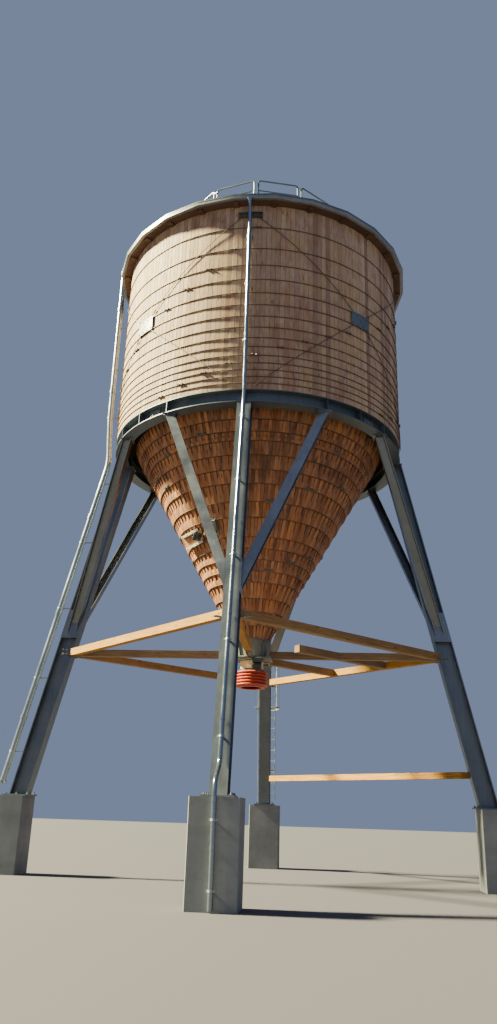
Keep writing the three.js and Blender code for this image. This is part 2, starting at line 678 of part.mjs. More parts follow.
function vibrator() {
  const { width, height, plate, rail, level } = VIBRATOR;
  const railLevel = (height - rail) / 2;
  return join([
    onHopper(width, height, 0, plate, level),
    onHopper(width, rail, plate - 5, rail, level + railLevel),
    onHopper(width, rail, plate - 5, rail, level - railLevel),
    onHopper(width / 4, height / 2, plate - 5, 2 * rail, level, width / 3),
  ]).rotateZ(radians(VIBRATOR.turn));
}

function levelSensor() {
  const { width, height, depth, level, aside } = SENSOR;
  return onHopper(width, height, 0, depth, level, aside).rotateZ(radians(SENSOR.turn));
}

for (let k = 0; k < 4; k += 1) {
  add(`pedestal_${SIDES[k]}`, pedestal(), CONCRETE, 90 * k);
  add(`leg_${SIDES[k]}`, leg(), STEEL, 90 * k);
  add(`strut_${SIDES[k]}_1`, strut(1), STEEL, 90 * k);
  add(`strut_${SIDES[k]}_2`, strut(-1), STEEL, 90 * k);
  add(`tie_${QUARTERS[k]}`, tie(TIE_SIDE, TIE_LEVEL), TIE_WOOD, 90 * k);
  add(`wall_${QUARTERS[k]}`, wallQuarter(k), SPRUCE);
  add(`hoops_${QUARTERS[k]}`, hoopQuarter(k), STEEL);
  add(`hopper_lower_${QUARTERS[k]}`, hopperQuarter(k, 0, HOPPER_SPLIT), HOPPER_WOOD);
  add(`hopper_upper_${QUARTERS[k]}`, hopperQuarter(k, HOPPER_SPLIT, CONE_BANDS), HOPPER_WOOD);
}
add('ring_beam', ringBeam(), RING_PAINT);
add('low_tie', tie(LOW_TIE_SIDE, LOW_TIE_LEVEL), TIE_WOOD, 90);
add('soffit', soffitRing(), ROOF_WOOD);
add('roof_deck', roofDeck(), ROOF_SHEET);
add('gutter', gutter(), ZINC);
add('railing', railing(), ZINC);
add('downpipe', downpipe(), ZINC);
add('fill_pipe', fillPipe(), ZINC);
add('ladder', ladder(), ZINC);
add('ladder_cage', ladderCage(), ZINC);
add('outlet_cone', outletCone(), STEEL);
add('slide_gate', slideGate(), STEEL);
add('vibrator', vibrator(), STEEL);
add('level_sensor', levelSensor(), STEEL);
add('gate_drive', gateDrive(), STEEL);
add('dust_sleeve', dustSleeve(), SLEEVE_CLOTH);
add('loading_bellows', loadingBellows(), BELLOWS_CLOTH);
add('tie_middle_left', middleTie(), TIE_WOOD, 180);
add('tie_middle_front', middleTie(FRONT_END), TIE_WOOD, -90);
add('tie_middle_right', join([middleTie(), crossBeam(1087, -915)]), TIE_WOOD);
add('cross_beam', crossBeam(60, 550), TIE_WOOD);

export default silo;
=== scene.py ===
# %% [markdown]
# # A timber-clad silo, dressed for the camera
# The model that comes in is plain: every leg, tie and pipe at its real size, but smooth. This lesson
# gives it the boards, hoops, bolts and finishes of the real thing. Everything is in metres, with the
# silo's axis on Z, the front leg at -Y and the feet of the pedestals at zero.

# %% Load the plain model
import math
import random
from itertools import product

import bmesh
import bpy
from mathutils import Matrix, Vector


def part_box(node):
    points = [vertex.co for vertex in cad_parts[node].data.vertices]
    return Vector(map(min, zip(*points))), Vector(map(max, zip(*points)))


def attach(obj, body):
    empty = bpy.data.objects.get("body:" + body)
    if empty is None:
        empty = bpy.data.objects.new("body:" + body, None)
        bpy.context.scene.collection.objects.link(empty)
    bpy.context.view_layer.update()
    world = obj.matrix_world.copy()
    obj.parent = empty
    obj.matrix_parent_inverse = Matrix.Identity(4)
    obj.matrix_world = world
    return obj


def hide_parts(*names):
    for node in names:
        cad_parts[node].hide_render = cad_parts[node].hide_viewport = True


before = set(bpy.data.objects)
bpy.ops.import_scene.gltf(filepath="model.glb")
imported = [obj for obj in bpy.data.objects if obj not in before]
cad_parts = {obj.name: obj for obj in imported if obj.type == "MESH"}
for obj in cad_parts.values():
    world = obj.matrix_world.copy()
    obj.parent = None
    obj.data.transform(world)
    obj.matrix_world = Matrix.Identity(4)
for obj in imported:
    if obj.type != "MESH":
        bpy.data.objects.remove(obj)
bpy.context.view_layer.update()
dice = random.Random(26)
print("nodes:", len(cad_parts))

# %% [markdown]
# ## Sizes
# The plain nodes already hold most sizes, so we measure them. What can't be read off a box, such as
# the lean of a leg, is written here once and used everywhere.

# %% Measure the plain nodes


def levels(node):
    """The heights of a plain node's foot and head."""
    low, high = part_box(node)
    return low.z, high.z


WALL_FOOT, WALL_HEAD = levels("wall_front_right")
RING_FOOT, RING_HEAD = levels("ring_beam")
TIE_FOOT, TIE_TOP = levels("tie_front_left")
EAVE_FOOT, EAVE_TOP = levels("gutter")
GATE_FOOT, GATE_TOP = levels("slide_gate")
BELLOWS_FOOT, BELLOWS_HEAD = levels("loading_bellows")
CONE_FOOT = levels("hopper_lower_front_right")[0]
PEDESTAL_TOP = levels("pedestal_front")[1]
PLATFORM_HEIGHT = levels("roof_deck")[1]
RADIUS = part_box("ring_beam")[1].x
PEDESTAL_FACE = -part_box("pedestal_front")[0].y

LEG_TOP_RADIUS = 3.425
LEG_FOOT_RADIUS = 5.234
LEG_SLOPE = (LEG_FOOT_RADIUS - LEG_TOP_RADIUS) / (RING_FOOT - PEDESTAL_TOP)
LEG_LEAN = math.atan(LEG_SLOPE)
LEG_DEPTH = 0.41
LEG_WIDTH = 0.30
RING_WIDTH = 0.30
CONE_FOOT_RADIUS = 0.412
CONE_SLOPE = math.tan(math.radians(30))
ROOF_SIDES = 26
ROOF_TURN = 8.5
EAVE_RADIUS = 3.89
GUTTER_WIDTH = 0.085
PLATFORM_RADIUS = 2.42
WALL_BRACKETS = [11.20, 12.67, 14.00]
LEG_BRACKETS = [2.60, 4.30, 6.00, 7.70, 9.30]
print(f"wall {WALL_HEAD - WALL_FOOT:.2f} m high, {2 * RADIUS:.2f} m across")


def leg_radius(height):
    """Distance from the silo's axis to a leg's own axis."""
    return LEG_TOP_RADIUS + (RING_FOOT - height) * LEG_SLOPE


def cone_radius(height):
    """Distance from the silo's axis to the hopper's slope."""
    return CONE_FOOT_RADIUS + (height - CONE_FOOT) * CONE_SLOPE


# %% [markdown]
# ## Camera
# The photograph was taken standing, about nineteen metres in front of the front leg and a little to
# the right. The camera looks up by some twenty degrees and is rolled by nearly two. Its three axes are
# built from those angles, so nothing is aimed by eye.

# %% Place the camera


def axes_along(x, y, z):
    """A turn whose own axes point along three directions."""
    return Matrix((x, y, z)).transposed().to_4x4()


EYE = Vector((1.727, -19.206, 1.411))
YAW = math.radians(5.704)
PITCH = math.radians(20.228)
ROLL = math.radians(1.793)
PHOTO_HEIGHT = 1024
FOCAL_PIXELS = 817.3

camera_data = bpy.data.cameras.new("photo_camera")
camera_data.sensor_fit = "VERTICAL"
camera_data.sensor_height = 24
camera_data.lens = camera_data.sensor_height * FOCAL_PIXELS / PHOTO_HEIGHT
camera_data.clip_end = 500
camera = bpy.data.objects.new("photo_camera", camera_data)
bpy.context.scene.collection.objects.link(camera)
ahead = Vector((-math.sin(YAW) * math.cos(PITCH), math.cos(YAW) * math.cos(PITCH), math.sin(PITCH)))
level = Vector((math.cos(YAW), math.sin(YAW), 0))
upright = level.cross(ahead)
side = level * math.cos(ROLL) + upright * math.sin(ROLL)
top = upright * math.cos(ROLL) - level * math.sin(ROLL)
camera.matrix_world = Matrix.Translation(EYE) @ axes_along(side, top, -ahead)
bpy.context.scene.camera = camera
print(f"lens {camera_data.lens:.1f} mm on a {camera_data.sensor_height:.0f} mm high frame")

# %% [markdown]
# ## Studio
# A plain floor, a plain surround and two soft lights. The main one stands high on the left, where
# the low sun stood, so the boards brighten and darken round the wall as they do outdoors.

# %% Floor and lights


def linear(hex_colour):
    """An sRGB hex colour as the linear values that shaders want."""
    channels = [int(hex_colour[i:i + 2], 16) / 255 for i in (1, 3, 5)]
    return [c / 12.92 if c <= 0.04045 else ((c + 0.055) / 1.055) ** 2.4 for c in channels] + [1.0]


def add_node(tree, kind, inputs=(), output=0, shades=(), **settings):
    """Adds a shader node and returns one of its outputs.

    Inputs are values or other nodes' outputs, named or in the node's own order. The shades of a ramp
    are hex colours, evenly spaced or by position."""
    made = tree.nodes.new("ShaderNode" + kind)
    for name, value in settings.items():
        setattr(made, name, value)
    for socket, value in inputs.items() if isinstance(inputs, dict) else enumerate(inputs):
        if isinstance(value, bpy.types.NodeSocket):
            tree.links.new(value, made.inputs[socket])
        else:
            made.inputs[socket].default_value = value
    if shades:
        if not isinstance(shades, dict):
            shades = {i / (len(shades) - 1): shade for i, shade in enumerate(shades)}
        points = made.color_ramp.elements
        while len(points) < len(shades):
            points.new(0.5)
        for point, (position, colour) in zip(points, shades.items()):
            point.position = position
            point.color = linear(colour)
    return made.outputs[output]


SUN_COLOUR = "#fdf5bd"
SHADE_COLOUR = "#b0c4ee"
FLOOR_COLOUR = "#413f49"
FLOOR_REACH = 90
SURROUND_STRENGTH = 0.42

world = bpy.data.worlds.new("studio")
world.use_nodes = True
background = world.node_tree.nodes["Background"]
background.inputs["Color"].default_value = linear(SHADE_COLOUR)
background.inputs["Strength"].default_value = SURROUND_STRENGTH
bpy.context.scene.world = world

floor_material = bpy.data.materials.new("studio_floor")
floor_material.use_nodes = True
floor_shader = floor_material.node_tree.nodes["Principled BSDF"]
floor_shader.inputs["Base Color"].default_value = linear(FLOOR_COLOUR)
floor_shader.inputs["Roughness"].default_value = 0.9
bm = bmesh.new()
bmesh.ops.create_grid(bm, x_segments=1, y_segments=1, size=FLOOR_REACH)
floor_mesh = bpy.data.meshes.new("studio_floor")
bm.to_mesh(floor_mesh)
bm.free()
floor_mesh.materials.append(floor_material)
floor = bpy.data.objects.new("studio_floor", floor_mesh)
bpy.context.scene.collection.objects.link(floor)


def add_sun(name, azimuth, elevation, strength, colour, softness):
    """A distant lamp that shines from an azimuth, in degrees from the front towards +X."""
    lamp = bpy.data.lights.new(name, "SUN")
    lamp.energy = strength
    lamp.color = linear(colour)[:3]
    lamp.angle = math.radians(softness)
    lamp_object = bpy.data.objects.new(name, lamp)
    a = math.radians(azimuth)
    e = math.radians(elevation)
    towards = Vector((math.sin(a) * math.cos(e), -math.cos(a) * math.cos(e), math.sin(e)))
    lamp_object.matrix_world = towards.to_track_quat("Z", "Y").to_matrix().to_4x4()
    bpy.context.scene.collection.objects.link(lamp_object)


add_sun("key", azimuth=-90, elevation=38, strength=43, colour=SUN_COLOUR, softness=6)
add_sun("fill", azimuth=10, elevation=15, strength=0.25, colour=SHADE_COLOUR, softness=60)

# %% [markdown]
# ## Finishes
# Five families cover the plant: softwood, coated steel, zinc, concrete and cloth. Each material is
# named for the real one, and each pattern is scaled from a real size in millimetres. Blots of noise
# make clouds, grain and rain runs, and a wash multiplies a colour by the shades that they pick.

# %% Surfaces, blots and washes


def surface(name, roughness, metallic=0.0):
    """A material, its node tree and the object's coordinates, which most patterns follow."""
    material = bpy.data.materials.new(name)
    material.use_nodes = True
    tree = material.node_tree
    shader = tree.nodes["Principled BSDF"]
    shader.inputs["Roughness"].default_value = roughness
    shader.inputs["Metallic"].default_value = metallic
    return material, tree, add_node(tree, "TexCoord", output="Object")


def blots(tree, place, size_mm, detail, stretch=(1, 1, 1), between=()):
    """Noise with blots about size_mm across, longer where stretch is below one, and its levels spread."""
    scaled = add_node(tree, "Mapping", {"Vector": place, "Scale": stretch})
    made = add_node(tree, "TexNoise", {"Vector": scaled, "Scale": 1000 / size_mm, "Detail": detail,
                                       "Roughness": 0.6}, output="Fac")
    return add_node(tree, "MapRange", [made, *between]) if between else made


def wash(tree, share, base, factor, shades):
    """Multiplies a colour by the shades that a factor picks."""
    picked = add_node(tree, "ValToRGB", [factor], shades=shades)
    return add_node(tree, "MixRGB", [share, base, picked], blend_type="MULTIPLY")


def dress(material, colour, height, depth_mm, strength, roughness=None, sheen=0.0):
    """Joins the finished patterns to the shader. The relief has a real depth."""
    tree = material.node_tree
    sockets = tree.nodes["Principled BSDF"].inputs
    relief = add_node(tree, "Bump", {"Height": height, "Distance": depth_mm / 1000, "Strength": strength})
    tree.links.new(colour, sockets["Base Color"])
    tree.links.new(relief, sockets["Normal"])
    if roughness is not None:
        tree.links.new(roughness, sockets["Roughness"])
    sockets["Sheen Weight"].default_value = sheen
    return material


# %% [markdown]
# ### Softwood boards
# Larch and spruce boards, planed and left bare. Each board gets its own number in an attribute named
# board, which picks its shade, and a UV map named grain that runs along it in metres, so the grain
# follows every board, upright on the wall and leaning on the hopper. Knots are dark spots about every
# half metre.

# %% Board timber


def board_timber(name, shades, tints, dark, roughness=0.72):
    """Bare boards. shades run from the darkest board to the palest, tints from red to gold."""
    material, tree, place = surface(name, roughness)
    number = add_node(tree, "Attribute", output="Fac", attribute_name="board")
    along = add_node(tree, "UVMap", uv_map="grain")
    base = add_node(tree, "ValToRGB", [number], shades=shades)
    fields = blots(tree, place, 520, 4, (1, 1, 0.45), (0.36, 0.64))
    patches = blots(tree, along, 130, 4, (1, 0.3, 1), (0.34, 0.66))
    for pattern in (fields, patches):
        base = wash(tree, 0.75, base, pattern, dict(zip((0, 0.45, 1), tints)))
    streaks = blots(tree, along, 9, 6, (1, 0.035, 1))
    grain = add_node(tree, "MapRange", [streaks, 0.35, 0.65])
    base = wash(tree, 0.5, base, grain, ["#a58a73", "#ffffff"])
    cells = add_node(tree, "Mapping", {"Vector": along, "Scale": (7, 1.9, 1)})
    knots = add_node(tree, "TexVoronoi", {"Vector": cells, "Scale": 1.0})
    spot = add_node(tree, "MapRange", [knots, 0.06, 0.14, 0.8, 0.0])
    base = add_node(tree, "MixRGB", [spot, base, linear(dark)])
    rough = add_node(tree, "MapRange", [streaks, 0.3, 0.7, roughness + 0.1, roughness - 0.08])
    return dress(material, base, streaks, 1.2, 0.5, rough)


WALL_BOARDS = board_timber(
    "planed_larch_boards", ["#9f8879", "#b09787", "#bda593", "#cdb7a2", "#b59d90", "#d6c2ae"],
    ["#d8bcb0", "#f4f1ee", "#f2e8c6"], "#4a3022")
HOPPER_BOARDS = board_timber(
    "oiled_larch_boards", ["#7f5b4c", "#956c56", "#ac7e61", "#9b7059", "#bf8f6e", "#b18263"],
    ["#b9a295", "#fbf6ee", "#ffe2a8"], "#38221a")
RAFTER_WOOD = board_timber(
    "stained_rafter_ends", ["#4f372c", "#5c4236", "#694d3f"], ["#d8c0b8", "#ffffff", "#ffe8d0"], "#2c1c14")
# The liner is coloured almost black: painted shade for the dark inside of the hopper behind the plank
# gaps.
LINER_PAINTED_SHADE = board_timber(
    "softwood_liner_painted_dark_as_shade", ["#1e150f", "#2b1e15"], ["#d0b8b0", "#ffffff", "#ffe0c0"], "#2a1a12")

# %% [markdown]
# ### Sawn beams
# The ties and beams are rough sawn spruce. They are plain nodes without a UV map, so the grain reads
# object coordinates, turned until it runs along the beam. The ties that face the low sun get a more
# golden copy of the spruce as painted sunlight, and those that face away get a duller copy as painted
# shade.

# %% Beam timber


def beam_timber(name, turn, shades):
    """Rough sawn timber whose grain runs along X once it is turned about Z."""
    material, tree, place = surface(name, 0.8)
    along = add_node(tree, "Mapping", {"Vector": place, "Rotation": (0, 0, math.radians(turn))})
    streaks = blots(tree, along, 14, 7, (0.03, 1, 1))
    grain = add_node(tree, "MapRange", [streaks, 0.3, 0.7])
    base = add_node(tree, "ValToRGB", [grain], shades=shades)
    patches = blots(tree, along, 700, 3, (0.5, 1, 1), (0.35, 0.7))
    base = wash(tree, 0.5, base, patches, ["#b8a08a", "#fff7ec"])
    cells = add_node(tree, "Mapping", {"Vector": along, "Scale": (2.2, 9, 9)})
    knots = add_node(tree, "TexVoronoi", {"Vector": cells, "Scale": 1.0})
    spot = add_node(tree, "MapRange", [knots, 0.08, 0.2, 0.75, 0.0])
    base = add_node(tree, "MixRGB", [spot, base, linear("#5a3a20")])
    return dress(material, base, streaks, 2.0, 0.6)


BEAM_SHADES = ["#68533a", "#86694a", "#a38560"]
# A duller copy is painted shade for the ties that face away from the sun. A golden copy is painted
# sunlight for the ties that face it.
SHADE_PAINTED_BEAM_SHADES = ["#765833", "#957244", "#b38e59"]
SUNLIT_PAINTED_BEAM_SHADES = ["#7e5510", "#a97714", "#cb9622"]
BEAM_ALONG_X = beam_timber("sawn_spruce_along_x", 0, BEAM_SHADES)
SUNLIT_PAINTED_BEAM_ALONG_Y = beam_timber("sawn_spruce_along_y_painted_sunlit", 90, SUNLIT_PAINTED_BEAM_SHADES)
SHADE_PAINTED_BEAM_RIGHT = beam_timber("sawn_spruce_to_the_right_painted_shade", -45, SHADE_PAINTED_BEAM_SHADES)
SUNLIT_PAINTED_BEAM_LEFT = beam_timber("sawn_spruce_to_the_left_painted_sunlit", 45, SUNLIT_PAINTED_BEAM_SHADES)
EAVE_BEAM = beam_timber("stained_spruce_soffit", 0, ["#412c22", "#543b2e", "#654a3b"])

# %% [markdown]
# ### Coated steel
# The frame is hot-dip galvanised and coated in a dull blue grey. Rain leaves faint upright runs on it,
# and the coating is a little uneven. Pipes and gutter are zinc in different states of wear. The railing
# tube is zinc darkened as painted shade, and the gutter's lip and bead are darkened as painted shade and
# reflection. The hoops are brown, and the outlet's parts carry a plainer grey paint.

# %% Steel coatings


def coated_steel(name, shades, roughness, metallic, runs=0.2, speck_mm=18, relief=0.4):
    """Coated or galvanised steel with soft clouds, fine specks and upright rain runs."""
    material, tree, place = surface(name, roughness, metallic)
    clouds = blots(tree, place, 900, 5, between=(0.35, 0.65))
    base = add_node(tree, "ValToRGB", [clouds], shades=shades)
    rain = blots(tree, place, 60, 5, (1, 1, 0.04), (0.4, 0.75))
    base = wash(tree, runs, base, rain, ["#ffffff", "#8f8b84"])
    flakes = add_node(tree, "TexVoronoi", {"Vector": place, "Scale": 1000 / speck_mm})
    speck = add_node(tree, "MapRange", [flakes, 0.0, 0.9, 0.93, 1.05])
    base = add_node(tree, "MixRGB", [1.0, base, speck], blend_type="MULTIPLY")
    rough = add_node(tree, "MapRange", [clouds, 0, 1, roughness - 0.07, roughness + 0.09])
    return dress(material, base, flakes, relief, 0.25, rough)


FRAME_STEEL = coated_steel("blue_grey_coated_steel", ["#5a6169", "#646b73", "#6d747c"], 0.44, 0.72)
STRUT_STEEL = coated_steel("blue_grey_strut_steel", ["#6a6f76", "#747980", "#7e838a"], 0.38, 0.9)
# A paler copy of the strut steel for the front strut whose face lies in shade: painted light that lifts
# its shade.
SHADE_LIFTING_STRUT_STEEL = coated_steel(
    "strut_steel_painted_light_for_shade", ["#85888c", "#8f9296", "#999ca0"], 0.38, 0.85)
RING_STEEL = coated_steel("dark_coated_ring_steel", ["#535c67", "#626c77"], 0.46, 0.6, runs=0.25)
OUTLET_STEEL = coated_steel("grey_painted_steel", ["#5f615f", "#72746f", "#7e7f78"], 0.5, 0.25, runs=0.35)
HOOP_STEEL = coated_steel("brown_round_bar_steel", ["#57443a", "#6a564a"], 0.55, 0.3, runs=0.35)
HOPPER_BANDS = coated_steel("tan_flat_hoop_steel", ["#6c5142", "#836552"], 0.55, 0.25)
CLAMP_STEEL = coated_steel("grey_clamp_steel", ["#575451", "#6b6763"], 0.5, 0.3)
LUG_STEEL = coated_steel("dull_lug_steel", ["#474440", "#595550"], 0.5, 0.3)
PLATE_STEEL = coated_steel("blue_grey_plate_steel", ["#56616d", "#66717d"], 0.46, 0.3)
ANCHOR_STEEL = coated_steel("dull_anchor_steel", ["#4d5052", "#63676a"], 0.5, 0.5)
GALVANISED = coated_steel("hot_dip_galvanised_steel", ["#868e93", "#9aa1a5", "#a9afb2"], 0.38, 0.75)
ZINC_SHEET = coated_steel("dull_zinc_sheet", ["#7c8592", "#88919e"], 0.15, 0.9, 0.05, 60, 0.02)
PIPE_ZINC = coated_steel("galvanised_pipe", ["#868f98", "#949da5"], 0.26, 0.8, 0.1, 40, 0.03)
# The gutter's lip and bead are coloured dark as painted shade and reflection along the gutter's top.
SHADE_PAINTED_BEAD_ZINC = coated_steel("zinc_painted_dark_for_shade_and_reflection", ["#4c5661", "#5e6873"], 0.4, 0.5, 0.15, 30)
BOLT_STEEL = coated_steel("zinc_plated_bolts", ["#7d8286", "#979ca0"], 0.4, 0.8, 0.1, 9)
GUTTER_SHEET = coated_steel("weathered_gutter_sheet", ["#6b6e76", "#797c84", "#858890"], 0.42, 0.4, 0.25)
# The railing's zinc is darkened as painted shade, for the dark that the rails show in the low sun.
SHADE_PAINTED_RAILING_ZINC = coated_steel("railing_tube_painted_dark_for_shade", ["#525c69", "#5f6976", "#6c7682"], 0.4, 0.85, 0.1)
RAIL_PAINT = coated_steel("pale_painted_rail_steel", ["#b9b6ae", "#cfccc4"], 0.5, 0.1)
MOTOR_PAINT = coated_steel("dark_grey_motor_paint", ["#3a3d3f", "#46494b"], 0.45, 0.2, 0.15)

# %% [markdown]
# ### Concrete, felt and cloth
# Cast concrete keeps the print of its shutter boards, small air holes and darker rain marks. The roof
# is slated felt with grit. Both cloths are woven, the tan one bare and the red one coated.

# %% Concrete, felt and cloth
WAVE_TURN = 6.28  # a wave texture counts its scale in turns of about two pi


def cast_concrete(name):
    """Grey clouds, level pour lines, darker rain marks and small air holes about 45 mm apart."""
    material, tree, place = surface(name, 0.9)
    clouds = blots(tree, place, 650, 8, between=(0.3, 0.7))
    base = add_node(tree, "ValToRGB", [clouds], shades=["#6a6d70", "#777a7d", "#85888b"])
    pours = blots(tree, place, 160, 6, (0.15, 0.15, 1), (0.45, 0.75))
    base = wash(tree, 0.2, base, pours, ["#ffffff", "#b3b0aa"])
    rain = blots(tree, place, 110, 6, (1, 1, 0.06), (0.5, 0.8))
    base = wash(tree, 0.15, base, rain, ["#ffffff", "#8f8c86"])
    holes = add_node(tree, "TexVoronoi", {"Vector": place, "Scale": 1000 / 45})
    pits = add_node(tree, "MapRange", [holes, 0.06, 0.12])
    base = add_node(tree, "MixRGB", [0.55, base, pits], blend_type="MULTIPLY")
    grit = blots(tree, place, 12, 8)
    rough = add_node(tree, "Math", [grit, pits], operation="MULTIPLY")
    return dress(material, base, rough, 3.0, 0.5)


def slated_felt(name):
    """Dull grey felt, a little patchy, with grit of 8 mm, coarser than real so that it shows."""
    material, tree, place = surface(name, 0.92)
    clouds = blots(tree, place, 1200, 6, between=(0.3, 0.7))
    base = add_node(tree, "ValToRGB", [clouds], shades=["#55585a", "#6d7072"])
    grit = blots(tree, place, 8, 2, between=(0.35, 0.65, 0.75, 1.2))
    base = add_node(tree, "MixRGB", [1.0, base, grit], blend_type="MULTIPLY")
    return dress(material, base, grit, 1.5, 0.5)


def woven_cloth(name, shades, thread_mm, roughness, sheen):
    """Cloth with crossed threads, drawn coarser than real so that they show in a close view."""
    material, tree, place = surface(name, roughness)
    clouds = blots(tree, place, 120, 5, between=(0.3, 0.7))
    base = add_node(tree, "ValToRGB", [clouds], shades=shades)
    thread = {"Vector": place, "Scale": 1000 / thread_mm / WAVE_TURN, "Distortion": 0.6}
    weave = add_node(tree, "Math", [add_node(tree, "TexWave", thread, output="Fac", bands_direction=way)
                                    for way in ("Z", "DIAGONAL")], operation="MAXIMUM")
    base = add_node(tree, "MixRGB", [0.25, base, weave], blend_type="MULTIPLY")
    return dress(material, base, weave, 0.8, 0.4, sheen=sheen)


CONCRETE = cast_concrete("cast_concrete")
FELT = slated_felt("slated_roofing_felt")
SLEEVE_CLOTH = woven_cloth("bare_filter_cloth", ["#eec890", "#fce2b2"], 9, 0.9, 0.2)
BELLOWS_CLOTH = woven_cloth("red_coated_cloth", ["#a5341d", "#c84828"], 7, 0.55, 0.1)

# %% [markdown]
# ### Finishes of the plain nodes
# Nodes that stay as they are only get a finish. A name here stands for every node that starts with it,
# and a later name overrules an earlier one.

# %% Dress the plain nodes
for start, finish in {
    # strut_front_1, whose face lies in shade, gets the paler strut steel as painted light.
    "pedestal": CONCRETE, "leg": FRAME_STEEL, "strut": STRUT_STEEL, "strut_front_1": SHADE_LIFTING_STRUT_STEEL,
    # Ties facing the low sun get the painted-sunlit copy of the spruce, and those facing away get the
    # painted-shade copy.
    "tie_front_left": SUNLIT_PAINTED_BEAM_LEFT, "tie_back_right": SUNLIT_PAINTED_BEAM_LEFT, "low_tie": SUNLIT_PAINTED_BEAM_LEFT,
    "tie_front_right": SHADE_PAINTED_BEAM_RIGHT, "tie_back_left": SHADE_PAINTED_BEAM_RIGHT, "cross_beam": SHADE_PAINTED_BEAM_RIGHT,
    "tie_middle_left": BEAM_ALONG_X, "tie_middle_right": BEAM_ALONG_X, "tie_middle_front": SUNLIT_PAINTED_BEAM_ALONG_Y,
    "soffit": EAVE_BEAM, "roof_deck": FELT, "gutter": GUTTER_SHEET, "slide_gate": OUTLET_STEEL,
    "gate_drive": OUTLET_STEEL, "vibrator": OUTLET_STEEL, "level_sensor": OUTLET_STEEL,
}.items():
    for node_name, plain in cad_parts.items():
        if node_name.startswith(start):
            plain.material_slots[0].material = finish
print("materials:", len(bpy.data.materials))

# %% [markdown]
# ## Tools for making pieces
# Every piece starts as an empty bmesh. Small shapes are set into it by a matrix: around() turns a place
# on the front of the silo to any azimuth, and points its local -Y outwards. At the end finish_piece()
# turns all faces outwards, softens round surfaces and hangs the piece on the body.

# %% Places
BOTH = (-1, 1)
QUARTERS = ["front_right", "back_right", "back_left", "front_left"]
UP = Vector((0, 0, 1))


def at(x, y, z):
    return Matrix.Translation((x, y, z))


def around(azimuth, radius, height):
    """A place at an azimuth in degrees from the front towards +X. Local -Y points outwards."""
    return Matrix.Rotation(math.radians(azimuth), 4, "Z") @ at(0, -radius, height)


def shifted(place, x=0.0, y=0.0, z=0.0):
    return place @ at(x, y, z)


def turned(place, degrees, axis):
    return place @ Matrix.Rotation(math.radians(degrees), 4, axis)


def facing(place):
    """Turns a place on an upright surface so that its Z points out of it."""
    return turned(place, 90, "X")


def lying(place):
    """Turns a place so that its Z runs sideways."""
    return turned(place, 90, "Y")


# %% Shapes


def chamfer(bm, edges, width):
    bmesh.ops.bevel(bm, geom=edges, offset=width, segments=1, profile=0.5, affect="EDGES", material=-1)


def add_block(bm, place, width, depth, height, edge=0.0):
    """A block centred on a place, with its edges bevelled by the given width."""
    made = bmesh.ops.create_cube(bm, size=1, matrix=place @ Matrix.Diagonal((width, depth, height, 1)))
    if edge > 0:
        chamfer(bm, list({e for v in made["verts"] for e in v.link_edges}), edge)


def add_rod(bm, place, radius, length, sides=12, end_radius=None):
    """A round bar along the place's Z, centred on it."""
    bmesh.ops.create_cone(bm, cap_ends=True, segments=sides, radius1=radius,
                          radius2=radius if end_radius is None else end_radius, depth=length, matrix=place)


def add_bolt(bm, place, across=0.036, grip=0.016):
    """A hexagon head with its washer. The place is on the surface, and its Z points out of it."""
    add_rod(bm, shifted(place, z=0.002), across * 0.62, 0.004, sides=14)
    add_rod(bm, shifted(place, z=0.004 + grip / 2), across / 2, grip, sides=6)


def add_ring(bm, profile, steps=96, turn=0.0):
    """Spins a closed outline of (radius, height) points all the way round the silo's axis."""
    corners = [bm.verts.new(around(turn, radius, height).translation) for radius, height in profile]
    edges = [bm.edges.new(pair) for pair in zip(corners, corners[1:] + corners[:1])]
    bmesh.ops.spin(bm, geom=corners + edges, cent=(0, 0, 0), axis=UP, angle=2 * math.pi, steps=steps,
                   use_merge=True)


def add_pipe(bm, points, radius, across, sides=16):
    """A round pipe through points. across is square to it, as one direction or one for each point."""
    if isinstance(across, Vector):
        across = [across] * len(points)
    last = len(points) - 1
    loops = []
    for i, (point, square) in enumerate(zip(points, across)):
        heading = (points[min(i + 1, last)] - points[max(i - 1, 0)]).normalized()
        axes = axes_along(square, heading.cross(square), heading)
        made = bmesh.ops.create_circle(bm, cap_ends=i in (0, last), segments=sides, radius=radius,
                                       matrix=Matrix.Translation(point) @ axes)
        loops.append(set(made["verts"]))
    for one, other in zip(loops, loops[1:]):
        edges = [e for loop in (one, other) for e in {e for v in loop for e in v.link_edges}
                 if e.verts[0] in loop and e.verts[1] in loop]
        bmesh.ops.bridge_loops(bm, edges=edges)


def rounded(points, radius, steps=5):
    """Replaces each inner corner of a line of points with a short curve."""
    line = [points[0]]
    for before, corner, after in zip(points, points[1:], points[2:]):
        reach = min(radius, (before - corner).length * 0.45, (after - corner).length * 0.45)
        start = corner + (before - corner).normalized() * reach
        end = corner + (after - corner).normalized() * reach
        for i in range(steps + 1):
            t = i / steps
            line.append(start * (1 - t) ** 2 + corner * 2 * t * (1 - t) + end * t ** 2)
    return line + [points[-1]]


def circle_outline(radius, height, thick, sides=8):
    turns = [2 * math.pi * (i + 0.5) / sides for i in range(sides)]
    return [(radius + thick * math.cos(t), height + thick * math.sin(t)) for t in turns]


def finish_piece(name, bm, material, stands_for=(), smooth=35):
    """Makes the object, hangs it on the body and hides the plain nodes that it stands for."""
    bmesh.ops.recalc_face_normals(bm, faces=bm.faces)
    mesh = bpy.data.meshes.new(name)
    bm.to_mesh(mesh)
    bm.free()
    mesh.materials.append(material)
    mesh.shade_smooth()
    mesh.set_sharp_from_angle(angle=math.radians(smooth))
    piece = bpy.data.objects.new(name, mesh)
    bpy.context.scene.collection.objects.link(piece)
    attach(piece, "root")
    if stands_for:
        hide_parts(*stands_for)
    print(f"{name}: {len(mesh.polygons)} faces")


